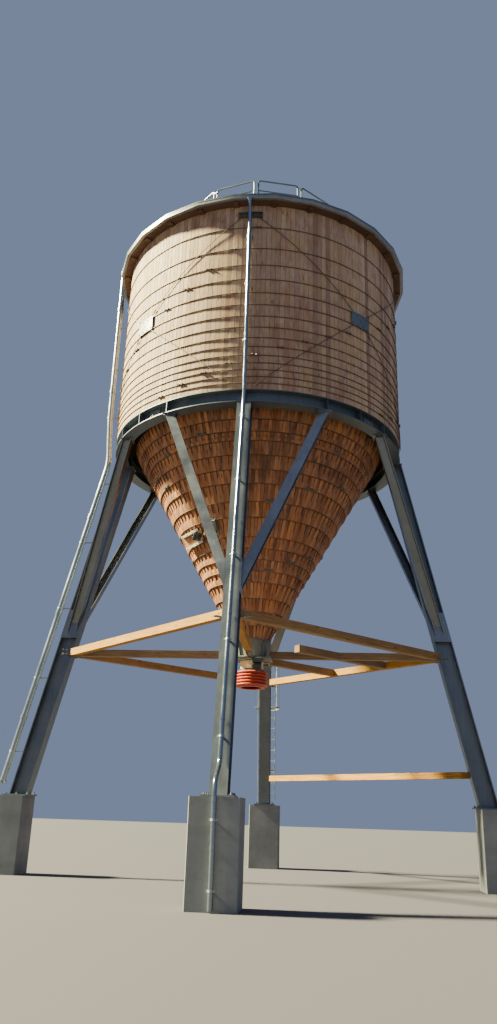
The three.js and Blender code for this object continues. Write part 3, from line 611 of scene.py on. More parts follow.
# %% [markdown]
# ## The wall
# The wall is a tub of upright boards, each about 11 cm wide, held by hoops. One board is cut first,
# with rounded outer edges and its grain map, and then copied round the circle. Each copy gets its own
# shade number and sits a few millimetres in or out, as real boards do.

# %% Tools for boards


def board_layers(bm):
    """The grain map and the number of each board, which the board timber reads."""
    return (bm.loops.layers.uv.get("grain") or bm.loops.layers.uv.new("grain"),
            bm.faces.layers.float.get("board") or bm.faces.layers.float.new("board"))


def mark_board(bm, known, number):
    """Numbers the faces after the known ones, and lays their grain map across and up."""
    grain, shade = board_layers(bm)
    bm.faces.ensure_lookup_table()
    for face in bm.faces[known:]:
        face[shade] = number
        for loop in face.loops:
            loop[grain].uv = (loop.vert.co.x, loop.vert.co.z)


def one_board(width, thick, length, edge=0.0, stations=()):
    """A board that stands on the origin, its outer face at y = -thick / 2.

    Stations shape it along its length: triples of a share of the length, a width and a step back."""
    bm = bmesh.new()
    board_layers(bm)
    add_block(bm, at(0, 0, length / 2), width, thick, length)
    if edge > 0:
        chamfer(bm, [e for e in bm.edges if abs(e.verts[0].co.z - e.verts[1].co.z) > length / 2
                     and e.verts[0].co.y < 0], edge)
    for share, _, _ in stations[1:-1]:
        bmesh.ops.bisect_plane(bm, geom=bm.verts[:] + bm.edges[:] + bm.faces[:],
                               plane_co=(0, 0, length * share), plane_no=UP)
    for vert in bm.verts if stations else ():
        share = vert.co.z / length
        _, wide, back = min(stations, key=lambda station: abs(station[0] - share))
        vert.co.x *= wide
        vert.co.y += back
    mark_board(bm, 0, 0)
    pattern = bpy.data.meshes.new("board_pattern")
    bm.to_mesh(pattern)
    bm.free()
    return pattern


def lay_boards(whole, pattern, places):
    """Sets a copy of a board at each place, each with its own shade and its own stretch of grain."""
    grain, shade = board_layers(whole)
    for place in places:
        known = len(whole.faces)
        whole.from_mesh(pattern)
        whole.faces.ensure_lookup_table()
        faces = whole.faces[known:]
        bmesh.ops.transform(whole, matrix=place, verts=list({v for f in faces for v in f.verts}))
        value = dice.random()
        offset = dice.uniform(0, 40)
        for face in faces:
            face[shade] = value
            for loop in face.loops:
                loop[grain].uv.x += offset
                loop[grain].uv.y += offset * 3
    bpy.data.meshes.remove(pattern)


# %% Boards of the wall
BOARD_WIDTH = 0.112
BOARD_THICK = 0.05
BOARD_JOINT = 0.003
board_count = round(2 * math.pi * RADIUS / BOARD_WIDTH)
bm = bmesh.new()
board = one_board(2 * math.pi * RADIUS / board_count - BOARD_JOINT, BOARD_THICK, WALL_HEAD - WALL_FOOT,
                  edge=0.004)
lay_boards(bm, board, [
    around(360 * i / board_count, RADIUS - BOARD_THICK / 2 - dice.uniform(0.002, 0.006), WALL_FOOT)
    for i in range(board_count)])
finish_piece("wall_boards", bm, WALL_BOARDS, [f"wall_{q}" for q in QUARTERS])

# %% [markdown]
# ## Hoops, rods and plates
# Fifteen round steel hoops squeeze the boards, closer together near the bottom, where the fill pushes
# hardest. Each is drawn tight at lugs that step round from hoop to hoop. In each quarter two long rods
# cross behind a plate and end at anchor plates over the legs. They replace the plain nodes because the
# real hoops are round and not in flats.

# %% Round hoops and crossed rods
HOOP_LEVELS = [10.17, 10.33, 10.50, 10.67, 10.86, 11.08, 11.31, 11.58, 11.87, 12.17, 12.49, 12.85, 13.24,
               13.70, 14.29]
HOOP_RADIUS = 0.011
HOOP_LINE = RADIUS - 0.002 + HOOP_RADIUS
ROD_FOOT = 10.09
ROD_HEAD = 14.60
ROD_INSET = 3
ROD_SPAN = 90 - 2 * ROD_INSET
ROD_RADIUS = 0.008
ROD_LINE = HOOP_LINE + HOOP_RADIUS + ROD_RADIUS - 0.003
ROD_STEPS = 30

bm = bmesh.new()
for height in HOOP_LEVELS:
    add_ring(bm, circle_outline(HOOP_LINE, height + HOOP_RADIUS, HOOP_RADIUS), steps=120)
for quarter, (low, high) in product(range(4), ((ROD_FOOT, ROD_HEAD), (ROD_HEAD, ROD_FOOT))):
    shares = [i / ROD_STEPS for i in range(ROD_STEPS + 1)]
    points = [around(90 * quarter + ROD_INSET + ROD_SPAN * share, ROD_LINE,
                     low + (high - low) * share).translation for share in shares]
    outwards = [(point * Vector((1, 1, 0))).normalized() for point in points]
    add_pipe(bm, points, ROD_RADIUS, outwards, sides=8)
finish_piece("hoops_and_rods", bm, HOOP_STEEL, [f"hoops_{q}" for q in QUARTERS])

# %% Lugs of the hoops
LUG_STEP = -9
bm = bmesh.new()
for (i, height), quarter in product(enumerate(reversed(HOOP_LEVELS)), range(4)):
    place = around(3 + LUG_STEP * i + 90 * quarter, HOOP_LINE + 0.012, height + HOOP_RADIUS)
    for end in (-0.045, 0.045):
        add_block(bm, shifted(place, x=end), 0.018, 0.042, 0.05, edge=0.005)
    add_rod(bm, lying(shifted(place, y=-0.010)), 0.008, 0.16, sides=8)
    for end in (-0.066, 0.066):
        add_rod(bm, lying(shifted(place, x=end, y=-0.010)), 0.015, 0.015, sides=6)
finish_piece("hoop_lugs", bm, LUG_STEEL)

# %% Crossing plates
PLATE_WIDTH = 0.57
PLATE_HEIGHT = 0.36
PLATE_PARTS = 5
RIB_PARTS = 13
RIB_SLOPE = PLATE_HEIGHT / PLATE_WIDTH * 0.86
SLEEVE_REACH = PLATE_WIDTH / 2 + 0.05
middle = (ROD_FOOT + ROD_HEAD) / 2
rise = math.atan2(ROD_HEAD - ROD_FOOT, math.radians(ROD_SPAN) * ROD_LINE)


def on_plate(quarter, x, z, off):
    """A place over the middle of a crossing plate, x metres round it and z metres above it."""
    return around(45 + 90 * quarter + math.degrees(x / ROD_LINE), ROD_LINE + off, middle + z)


bm = bmesh.new()
for quarter in range(4):
    for part in range(-2, 3):
        place = on_plate(quarter, part * PLATE_WIDTH / PLATE_PARTS, 0, 0.014)
        add_block(bm, place, PLATE_WIDTH / PLATE_PARTS + 0.0015, 0.008, PLATE_HEIGHT)
    for slope, part in product(BOTH, range(-6, 7)):
        along = part * PLATE_WIDTH / RIB_PARTS
        place = on_plate(quarter, along, slope * along * RIB_SLOPE, 0.0185)
        tilt = -slope * math.degrees(math.atan(RIB_SLOPE))
        add_block(bm, turned(place, tilt, "Y"), PLATE_WIDTH / RIB_PARTS * 1.2, 0.003, 0.045)
    for x, z in product((-0.24, -0.08, 0.08, 0.24), (-0.13, 0.13)):
        add_bolt(bm, facing(on_plate(quarter, x, z, 0.018)), across=0.03, grip=0.014)
    for hand, slope in product(BOTH, BOTH):
        place = on_plate(quarter, hand * SLEEVE_REACH, hand * slope * SLEEVE_REACH * math.tan(rise), 0)
        add_rod(bm, lying(turned(place, -slope * math.degrees(rise), "Y")), 0.017, 0.08, sides=8)
finish_piece("crossing_plates", bm, PLATE_STEEL)

# %% Anchor plates
ANCHOR_WIDTH = 0.285
ANCHOR_HEIGHT = 0.15
ANCHOR_LEVEL = 14.66
ANCHOR_TURN = 2.31
bm = bmesh.new()
for leg, hand in product(range(4), BOTH):
    place = around(90 * leg + hand * ANCHOR_TURN, RADIUS + 0.008, ANCHOR_LEVEL)
    add_block(bm, place, ANCHOR_WIDTH, 0.016, ANCHOR_HEIGHT, edge=0.003)
    for end in BOTH:
        flange = shifted(place, y=-0.022, z=end * (ANCHOR_HEIGHT / 2 - 0.006))
        add_block(bm, flange, ANCHOR_WIDTH, 0.03, 0.010, edge=0.002)
    for x in (-ANCHOR_WIDTH / 2 + 0.03, ANCHOR_WIDTH / 2 - 0.03):
        add_block(bm, shifted(place, x=x, y=-0.021), 0.012, 0.028, ANCHOR_HEIGHT - 0.022)
        add_bolt(bm, facing(shifted(place, x=x * 0.55, y=-0.008, z=0.03)), across=0.028, grip=0.014)
    nut = lying(shifted(place, x=hand * (ANCHOR_WIDTH / 2 - 0.055), y=-0.022, z=-0.03))
    add_rod(bm, nut, 0.016, 0.04, sides=6)
finish_piece("anchor_plates", bm, LUG_STEEL)

# %% [markdown]
# ## Ring girder
# The tub stands on a ring bent from an I-section. It is turned as a true circle here, with the upright
# stiffeners welded in and the bolts that hold it down on the four leg heads.

# %% Ring
RING_FLANGE = 0.019
RING_WEB = 0.011
RING_HALF = RING_WIDTH / 2
RING_LINE = RADIUS - RING_HALF
RING_MIDDLE = (RING_FOOT + RING_HEAD) / 2
low_flange = RING_FOOT + RING_FLANGE
high_flange = RING_HEAD - RING_FLANGE
outer_half = [(RING_HALF, RING_FOOT), (RING_HALF, low_flange), (RING_WEB / 2, low_flange),
              (RING_WEB / 2, high_flange), (RING_HALF, high_flange), (RING_HALF, RING_HEAD)]
inner_half = [(-out, height) for out, height in reversed(outer_half)]
bm = bmesh.new()
add_ring(bm, [(RING_LINE + out, height) for out, height in outer_half + inner_half], steps=120)
for leg, turn, hand in product(range(4), (-30, 0, 30, 45), BOTH):
    place = around(90 * leg + turn, RING_LINE + hand * (RING_HALF + RING_WEB / 2) / 2, RING_MIDDLE)
    add_block(bm, place, 0.012, RING_HALF - RING_WEB / 2 - 0.006, high_flange - low_flange)
finish_piece("ring_girder", bm, RING_STEEL, ["ring_beam"])

# %% Bolts and splices of the ring
SPLICE_TURN = 52
SPLICE_FACE = RING_LINE + RING_WEB / 2
bm = bmesh.new()
for leg in range(4):
    for x, out in product((-0.1, 0.1), (-0.1, 0.1)):
        place = shifted(around(90 * leg, RING_LINE + out, low_flange), x=x)
        add_bolt(bm, place, across=0.03)
        add_rod(bm, shifted(place, z=-RING_FLANGE - 0.034), 0.012, 0.03, sides=8)
    splice = around(90 * leg + SPLICE_TURN, SPLICE_FACE + 0.008, RING_MIDDLE)
    for x, z in product((-0.12, -0.05, 0.05, 0.12), (-0.08, 0, 0.08)):
        add_bolt(bm, facing(shifted(splice, x=x, z=z)), across=0.026)
    add_block(bm, shifted(splice, y=0.004), 0.34, 0.008, 0.22)
finish_piece("ring_bolts", bm, BOLT_STEEL)

# %% [markdown]
# ## The hopper
# The funnel is built in bands of short planks, each band lapping a little over the one below. Sixteen
# bands show, and a last one stands inside the ring girder. Their heights differ, as the planks do, so
# the feet of the bands are listed.
# The planks keep their width, so on the growing circle thin gaps open between their heads. Every second
# one also steps back in its upper half. Seen from the front that hardly shows, but towards the sides the
# steps hide each other and turn into dark notches under each hoop. A liner closes the gaps from inside.
# Its almost black colour is painted shade for the dark inside of the hopper seen through the gaps. A thin
# round hoop runs under each lap.

# %% Planks of the hopper
BAND_FEET = [CONE_FOOT, 5.50, 5.79, 6.065, 6.40, 6.63, 6.865, 7.09, 7.325, 7.715, 8.03, 8.39, 8.665, 8.95,
             9.225, 9.405, 9.64, 9.92]
CONE_STEP = 0.018
CONE_LEAN = math.atan(CONE_SLOPE)
PLANK_WIDTH = 0.08
PLANK_THICK = 0.026
PLANK_GAP = 0.009
PLANK_JOINT = 0.002
PLANK_KNEE = 0.42
KNEE_LENGTH = 0.15
PLANK_RECESS = 0.024

bm = bmesh.new()
for band, (low, high) in enumerate(zip(BAND_FEET, BAND_FEET[1:])):
    low_radius = cone_radius(low) + CONE_STEP / 2
    high_radius = cone_radius(high) - CONE_STEP / 2
    slant = math.hypot(high_radius - low_radius, high - low)
    tilt = math.degrees(math.atan2(high_radius - low_radius, high - low))
    count = 2 * round(math.pi * (low_radius + high_radius) / PLANK_WIDTH / 2)
    foot_width = 2 * math.pi * low_radius / count - PLANK_JOINT
    head_width = min(foot_width, 2 * math.pi * high_radius / count - PLANK_GAP)
    knee_width = (foot_width + head_width) / 2
    for second, recess in enumerate((0, PLANK_RECESS)):
        places = []
        for i in range(second, count, 2):
            place = turned(around(360 * (i + 0.5 * (band % 2)) / count, low_radius, low), tilt, "X")
            places.append(shifted(place, y=PLANK_THICK / 2 + dice.uniform(0, 0.003)))
        stations = [(0, foot_width, 0), (PLANK_KNEE, knee_width, 0),
                    (PLANK_KNEE + KNEE_LENGTH, knee_width, recess), (1, head_width, recess)]
        lay_boards(bm, one_board(1.0, PLANK_THICK, slant - 0.003, stations=stations), places)
finish_piece("hopper_planks", bm, HOPPER_BOARDS,
             [f"hopper_{storey}_{q}" for storey, q in product(("lower", "upper"), QUARTERS)])

# %% Liner, bands and clamps
LINER_THICK = 0.05
inset = PLANK_THICK / math.cos(CONE_LEAN) + CONE_STEP + PLANK_RECESS + 0.004
liner = [(cone_radius(height) - inset, height) for height in (CONE_FOOT, RING_HEAD)]
bm = bmesh.new()
add_ring(bm, liner + [(radius - LINER_THICK, height) for radius, height in reversed(liner)])
finish_piece("hopper_liner", bm, LINER_PAINTED_SHADE)

bm = bmesh.new()
for low in BAND_FEET[1:-1]:
    add_ring(bm, circle_outline(cone_radius(low) + CONE_STEP / 2 + 0.004, low + 0.004, 0.006, sides=6))
finish_piece("hopper_bands", bm, HOPPER_BANDS)

# Two rows of clamps climb round the hopper, and a few more stand between them.
CLAMP_STEP = 24
EXTRA_CLAMPS = {12: [-58], 13: [-67], 14: [-46, 47], 15: [-22]}
bm = bmesh.new()
for band, low in enumerate(BAND_FEET[1:-2], 1):
    second_row = 226 if band > 7 else 248
    for turn in [CLAMP_STEP * band - row for row in (100, second_row)] + EXTRA_CLAMPS.get(band, []):
        face = cone_radius(low) + CONE_STEP / 2 + 0.024
        place = turned(around(turn, face, low + 0.016), math.degrees(CONE_LEAN), "X")
        add_block(bm, shifted(place, y=0.012), 0.24, 0.012, 0.066, edge=0.003)
        for x in (-0.075, 0.075):
            add_block(bm, shifted(place, x=x), 0.034, 0.032, 0.056, edge=0.005)
        add_rod(bm, lying(shifted(place, y=-0.004)), 0.009, 0.25, sides=8)
finish_piece("hopper_clamps", bm, CLAMP_STEEL)

# %% [markdown]
# ## Roof edge
# A box gutter runs round the eave in twenty-six straight lengths, with a lip and bead along its top that
# are coloured dark as painted shade and reflection. Under it the soffit shows a rafter's end at each
# corner. The roof itself is felt with a batten along each hip.

# %% Gutter
EAVE_INNER = EAVE_RADIUS - GUTTER_WIDTH
corner_turns = [ROOF_TURN + 360 * i / ROOF_SIDES for i in range(ROOF_SIDES)]


def add_roof_ring(bm, profile):
    add_ring(bm, profile, steps=ROOF_SIDES, turn=ROOF_TURN)


bm = bmesh.new()
add_roof_ring(bm, [
    (EAVE_INNER, EAVE_FOOT), (EAVE_RADIUS - 0.022, EAVE_FOOT), (EAVE_RADIUS - 0.008, EAVE_FOOT + 0.012),
    (EAVE_RADIUS - 0.002, EAVE_TOP - 0.018), (EAVE_RADIUS - 0.006, EAVE_TOP - 0.018),
    (EAVE_RADIUS - 0.012, EAVE_FOOT + 0.014), (EAVE_RADIUS - 0.024, EAVE_FOOT + 0.004),
    (EAVE_INNER + 0.004, EAVE_FOOT + 0.004), (EAVE_INNER + 0.004, EAVE_TOP), (EAVE_INNER, EAVE_TOP)])
finish_piece("gutter_box", bm, GUTTER_SHEET, ["gutter"])

LIP_TOP = EAVE_TOP - 0.014
bm = bmesh.new()
add_roof_ring(bm, circle_outline(EAVE_RADIUS - 0.009, EAVE_TOP - 0.011, 0.010))
add_roof_ring(bm, [(EAVE_RADIUS - 0.004, EAVE_TOP - 0.052), (EAVE_RADIUS, EAVE_TOP - 0.050),
                   (EAVE_RADIUS, LIP_TOP), (EAVE_RADIUS - 0.003, LIP_TOP)])
flat_radius = EAVE_RADIUS * math.cos(math.pi / ROOF_SIDES) - GUTTER_WIDTH / 2
for corner, x in product(corner_turns, (0.2, -0.2)):
    place = around(corner + 180 / ROOF_SIDES, flat_radius, EAVE_TOP - 0.006)
    add_block(bm, shifted(place, x=x), 0.03, GUTTER_WIDTH - 0.02, 0.004)
finish_piece("gutter_bead", bm, SHADE_PAINTED_BEAD_ZINC)

# %% Rafter ends


def add_short_board(bm, place, *size, edge):
    """A block of timber with its own shade."""
    known = len(bm.faces)
    add_block(bm, place, *size, edge=edge)
    mark_board(bm, known, dice.random())


rafter_end = EAVE_INNER - 0.030
rafter_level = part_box("soffit")[0].z - 0.022
bm = bmesh.new()
for corner in corner_turns:
    place = around(corner, (RADIUS + rafter_end) / 2 + 0.004, rafter_level)
    add_short_board(bm, place, 0.12, rafter_end - RADIUS - 0.012, 0.044, edge=0.004)
finish_piece("rafter_ends", bm, RAFTER_WOOD)

# %% Roof battens


def add_bar(bm, start, end, width, thick, across, edge=0.0):
    """A flat bar between two points. across is the direction of its width."""
    heading = (end - start).normalized()
    flat = (across - heading * across.dot(heading)).normalized()
    middle = Matrix.Translation((start + end) / 2) @ axes_along(flat, heading.cross(flat), heading)
    add_block(bm, middle, width, thick, (end - start).length, edge=edge)


bm = bmesh.new()
for corner in corner_turns:
    low = around(corner, EAVE_INNER - 0.03, EAVE_TOP - 0.002).translation
    high = around(corner, PLATFORM_RADIUS - 0.03, PLATFORM_HEIGHT + 0.004).translation
    add_bar(bm, low, high, 0.05, 0.03, UP.cross(high - low), edge=0.006)
rim = [(-0.05, 0.001), (0.03, -0.014), (0.03, 0.004), (-0.004, 0.022), (-0.05, 0.018)]
add_roof_ring(bm, [(PLATFORM_RADIUS + out, PLATFORM_HEIGHT + up) for out, up in rim])
finish_piece("roof_battens", bm, FELT)

# %% [markdown]
# ## Railing
# The railing is made of twelve separate panels. Each is a bent tube frame with two rails below, bolted
# to the deck on small plates, so two tubes stand side by side at every corner.

# %% Railing panels
RAIL_SIDES = 12
RAIL_RADIUS = 2.24
RAIL_TURN = -0.7
RAIL_FLAT = RAIL_RADIUS * math.cos(math.pi / RAIL_SIDES)
RAIL_TOP = 16.94
LOW_RAILS = [16.30, 16.62]
RAIL_CLAMPS = [16.39, 16.84]
RAIL_TUBE = 0.02
POST_FOOT = PLATFORM_HEIGHT + 0.012
half_panel = RAIL_RADIUS * math.sin(math.pi / RAIL_SIDES) - 0.055
panel_bm = bmesh.new()
foot_bm = bmesh.new()
for i in range(RAIL_SIDES):
    panel = around(RAIL_TURN + 360 * (i + 0.5) / RAIL_SIDES, RAIL_FLAT, 0)
    frame_line = [panel @ Vector((hand * half_panel, 0, height)) for hand, height in (
        (-1, POST_FOOT), (-1, RAIL_TOP), (1, RAIL_TOP), (1, POST_FOOT))]
    outwards = (panel.to_3x3() @ Vector((0, -1, 0))).normalized()
    add_pipe(panel_bm, rounded(frame_line, 0.09), RAIL_TUBE, outwards, sides=10)
    for height in LOW_RAILS:
        add_rod(panel_bm, lying(shifted(panel, z=height)), RAIL_TUBE * 0.85, 2 * half_panel, sides=10)
    for hand in BOTH:
        foot = shifted(panel, x=hand * half_panel, z=PLATFORM_HEIGHT + 0.006)
        add_block(foot_bm, foot, 0.09, 0.1, 0.012, edge=0.002)
        for out in (-0.035, 0.035):
            add_bolt(foot_bm, shifted(foot, y=out, z=0.006), across=0.016, grip=0.009)
    for height in RAIL_CLAMPS:
        clamp = around(RAIL_TURN + 360 * i / RAIL_SIDES, RAIL_RADIUS, height)
        add_block(foot_bm, clamp, 0.15, 0.05, 0.03, edge=0.004)
finish_piece("railing_panels", panel_bm, SHADE_PAINTED_RAILING_ZINC, ["railing"])
finish_piece("railing_feet", foot_bm, GALVANISED)

# %% [markdown]
# ## Ladder and cage
# The ladder stands on the back leg and bends upright where the wall starts. Its stiles are flat bars,
# its rungs are ribbed round bars, and flat hoops with long straps make the cage.

# %% Ladder
HALF_LADDER = 0.25
LADDER_FOOT = 1.75
LADDER_TOP = 16.60
LADDER_OFF = 4.07
LADDER_KNEE = 9.84
RUNG_PITCH = 0.30


def ladder_point(x, height, off=0.0):
    """A point beside the ladder's middle, which leans with the leg up to its knee."""
    return Vector((x, LADDER_OFF + max(0.0, LADDER_KNEE - height) * LEG_SLOPE + off, height))


def steps_up(low, high, pitch):
    """Heights from low upwards, a pitch apart, that stay under high."""
    return [low + pitch * i for i in range(math.ceil((high - low) / pitch))]


bm = bmesh.new()
for x in (-HALF_LADDER, HALF_LADDER):
    stile = [ladder_point(x, height) for height in (LADDER_FOOT, LADDER_KNEE, LADDER_TOP)]
    for low, high in zip(stile, stile[1:]):
        add_bar(bm, low, high, 0.06, 0.016, Vector((0, 1, 0)), edge=0.003)
for height in steps_up(LADDER_FOOT + 0.2, LADDER_TOP - 0.05, RUNG_PITCH):
    place = Matrix.Translation(ladder_point(0, height))
    add_rod(bm, lying(place), 0.014, 2 * HALF_LADDER, sides=10)
    for hand in BOTH:
        add_rod(bm, lying(shifted(place, x=hand * (HALF_LADDER + 0.011))), 0.018, 0.006, sides=10)
for height, x in product(WALL_BRACKETS, (-HALF_LADDER + 0.02, HALF_LADDER - 0.02)):
    wall = Vector((x, RADIUS + 0.010, height))
    add_bar(bm, wall + Vector((0, 0.002, 0)), ladder_point(x, height), 0.04, 0.008, UP, edge=0.002)
    add_block(bm, Matrix.Translation(wall), 0.09, 0.008, 0.12, edge=0.003)
    for z in (-0.04, 0.04):
        bolt = shifted(Matrix.Translation(wall), y=0.004, z=z)
        add_bolt(bm, turned(bolt, -90, "X"), across=0.02, grip=0.012)
for height in LEG_BRACKETS:
    near = leg_radius(height) + LEG_DEPTH / 2 + 0.004
    for x in (-0.06, 0.06):
        add_bar(bm, Vector((x, near, height)), ladder_point(x, height, -0.02), 0.04, 0.008, UP, edge=0.002)
    add_bar(bm, ladder_point(-HALF_LADDER, height, -0.02), ladder_point(HALF_LADDER, height, -0.02), 0.04,
            0.008, UP, edge=0.002)
finish_piece("ladder_bars", bm, GALVANISED, ["ladder"])

# %% Safety cage
CAGE_FOOT = LADDER_FOOT + 2.6
CAGE_PITCH = 0.74
CAGE_RADIUS = 0.36
CAGE_REACH = 1.35
CAGE_BACK = 0.13
CAGE_STRAPS = (0, 45, 90, 135, 180)


def cage_point(turn, height):
    """A point on the cage's hoop. The turn runs from 0 on the right round the back to 180."""
    t = math.radians(turn)
    out = CAGE_BACK + CAGE_RADIUS * CAGE_REACH * math.sin(t)
    return ladder_point(CAGE_RADIUS * math.cos(t), height, out)


bm = bmesh.new()
hoop_heights = steps_up(CAGE_FOOT, LADDER_TOP, CAGE_PITCH)
for height in hoop_heights:
    hoop = [cage_point(turn, height) for turn in range(-15, 196, 15)]
    ends = [ladder_point(hand * (HALF_LADDER + 0.01), height) for hand in BOTH]
    hoop = [ends[1]] + hoop + [ends[0]]
    for one, other in zip(hoop, hoop[1:]):
        add_bar(bm, one, other, 0.045, 0.006, UP)
for turn in CAGE_STRAPS:
    for low, high in zip(hoop_heights, hoop_heights[1:]):
        tangent = cage_point(turn + 5, low) - cage_point(turn - 5, low)
        add_bar(bm, cage_point(turn, low), cage_point(turn, high), 0.04, 0.006, tangent)
    for height in hoop_heights:
        outwards = (cage_point(turn, height) - ladder_point(0, height, CAGE_BACK)).normalized()
        place = Matrix.Translation(cage_point(turn, height) + outwards * 0.003)
        aim = outwards.to_track_quat("Z", "Y").to_matrix().to_4x4()
        add_bolt(bm, place @ aim, across=0.018, grip=0.008)
finish_piece("cage_bars", bm, GALVANISED, ["ladder_cage"])

# %% [markdown]
# ## Pipes
# The rainwater pipe leaves the gutter at the front in a funnel, steps in to the wall and follows the
# front leg down to the foot of the pedestal. The filling pipe climbs the left leg and the wall, turns
# over the eave and goes down through the roof. Both are round tubes with sockets at their joints and
# clips at every bracket.

# %% Tools for pipes


def face_behind(height):
    """Distance from the silo's axis to what carries a bracket: the wall, a leg or a pedestal."""
    if height < PEDESTAL_TOP:
        return PEDESTAL_FACE + 0.002
    return RADIUS + 0.004 if height > RING_HEAD else leg_radius(height) + LEG_DEPTH / 2 + 0.004


def on_pipe(azimuth, line, height):
    """A place on a pipe's line, its Z along the pipe, which leans only beside a leg."""
    place = around(azimuth, line(height), height)
    beside_leg = PEDESTAL_TOP < height < RING_HEAD
    return turned(place, -math.degrees(LEG_LEAN), "X") if beside_leg else place


def clip_pipe(name, azimuth, line, radius, heights):
    """Clips round a pipe, each with two ears and a flat arm back to what carries it."""
    bm = bmesh.new()
    for height in heights:
        clip = on_pipe(azimuth, line, height)
        add_rod(bm, clip, radius + 0.006, 0.035, sides=20)
        for hand in BOTH:
            add_block(bm, shifted(clip, x=hand * (radius + 0.014)), 0.026, 0.008, 0.035, edge=0.002)
        start, end = face_behind(height), line(height) - radius
        add_block(bm, around(azimuth, (start + end) / 2, height), 0.03, end - start, 0.03, edge=0.003)
    finish_piece(name, bm, GALVANISED)


# %% Rainwater pipe
RAIN_WALL = RADIUS + 0.105
RAIN_PEDESTAL = PEDESTAL_FACE + 0.052
RAIN_OUTLET = EAVE_RADIUS - 0.05
RAIN_TUBE = 0.04
RAIN_SOCKETS = [14.20, 12.10, 10.30, 8.80, 6.80, 4.80, 2.90, 1.60, 0.90]


def rain_line(height):
    """Distance from the silo's axis to the rainwater pipe."""
    if height < PEDESTAL_TOP:
        return RAIN_PEDESTAL
    return RAIN_WALL if height > RING_HEAD else leg_radius(height) + LEG_DEPTH / 2 + 0.062


bm = bmesh.new()
route = [around(0, radius, height).translation for radius, height in (
    (RAIN_OUTLET, EAVE_FOOT), (RAIN_OUTLET, EAVE_FOOT - 0.10), (RAIN_WALL + 0.04, EAVE_FOOT - 0.44),
    (RAIN_WALL, EAVE_FOOT - 0.58), (RAIN_WALL, RING_FOOT + 0.33),
    (rain_line(RING_FOOT - 0.06), RING_FOOT - 0.06), (rain_line(2.15), 2.15),
    (RAIN_PEDESTAL - 0.06, 1.90), (RAIN_PEDESTAL, 1.72), (RAIN_PEDESTAL, 0.03))]
add_pipe(bm, rounded(route, 0.12), RAIN_TUBE, Vector((1, 0, 0)), sides=20)
add_rod(bm, around(0, RAIN_OUTLET, EAVE_FOOT - 0.05), 0.042, 0.10, sides=20, end_radius=0.078)
for height in RAIN_SOCKETS:
    add_rod(bm, on_pipe(0, rain_line, height), RAIN_TUBE + 0.004, 0.07, sides=20)
add_rod(bm, around(0, RAIN_PEDESTAL, 0.155), RAIN_TUBE + 0.004, 0.25, sides=20)
finish_piece("rainwater_pipe", bm, ZINC_SHEET, ["downpipe"])
clip_pipe("rainwater_clips", 0, rain_line, RAIN_TUBE, WALL_BRACKETS + LEG_BRACKETS + [0.30, 1.30])

# %% Filling pipe
LEFT = -90
FILL_TUBE = 0.07
FILL_WALL = RADIUS + 0.385
FILL_FOOT = 1.90
FILL_OVER = 15.90
FILL_BEND = 0.33
FILL_DROP = FILL_WALL - 2 * FILL_BEND
FILL_SOCKETS = [3.4, 5.9, 8.4, 12.0, 14.6, 15.8]


def fill_line(height):
    """Distance from the silo's axis to the filling pipe."""
    return FILL_WALL if height > RING_HEAD else leg_radius(height) + 0.51


deck_slope = (PLATFORM_HEIGHT - (EAVE_TOP - 0.01)) / (EAVE_INNER - PLATFORM_RADIUS)
deck_there = EAVE_TOP - 0.01 + (EAVE_INNER - FILL_DROP) * deck_slope
pairs = [(fill_line(FILL_FOOT), FILL_FOOT), (fill_line(9.9), 9.9), (FILL_WALL - 0.04, 10.5),
         (FILL_WALL, 11.2), (FILL_WALL, FILL_OVER)]
for turn in range(15, 180, 15):
    t = math.radians(turn)
    pairs.append((FILL_WALL - FILL_BEND + FILL_BEND * math.cos(t), FILL_OVER + FILL_BEND * math.sin(t)))
pairs += [(FILL_DROP, FILL_OVER), (FILL_DROP, deck_there - 0.02)]
bm = bmesh.new()
route = [around(LEFT, radius, height).translation for radius, height in pairs]
add_pipe(bm, rounded(route, 0.3), FILL_TUBE, around(LEFT, 1, 0).to_3x3() @ Vector((1, 0, 0)), sides=24)
for height in FILL_SOCKETS:
    add_rod(bm, on_pipe(LEFT, fill_line, height), FILL_TUBE + 0.012, 0.12, sides=24)
add_rod(bm, around(LEFT, FILL_DROP, deck_there + 0.04), FILL_TUBE + 0.055, 0.02, sides=24)
add_rod(bm, around(LEFT, FILL_DROP, deck_there + 0.015), FILL_TUBE + 0.02, 0.09, sides=24)
coupling = around(LEFT, fill_line(FILL_FOOT), FILL_FOOT)
add_rod(bm, shifted(coupling, z=0.010), 0.095, 0.020, sides=28)
add_rod(bm, shifted(coupling, z=0.040), 0.086, 0.040, sides=28)
for turn in (0, 120, 240):
    add_block(bm, shifted(turned(coupling, turn, "Z"), x=0.086, z=0.045), 0.018, 0.04, 0.03, edge=0.003)
finish_piece("filling_pipe", bm, PIPE_ZINC, ["fill_pipe"])
clip_pipe("filling_pipe_clips", LEFT, fill_line, FILL_TUBE, WALL_BRACKETS + LEG_BRACKETS)

# %% [markdown]
# ## Outlet
# Under the hopper a steel cone leads to a flat slide gate with its drive. A cloth sleeve joins the gate
# to the folded bellows, which stay drawn up while nothing is loaded.

# %% Outlet cone


def add_band(bm, inner, outer, low, high):
    """A flat ring round the silo's axis."""
    add_ring(bm, [(inner, low), (outer, low), (outer, high), (inner, high)], steps=64)


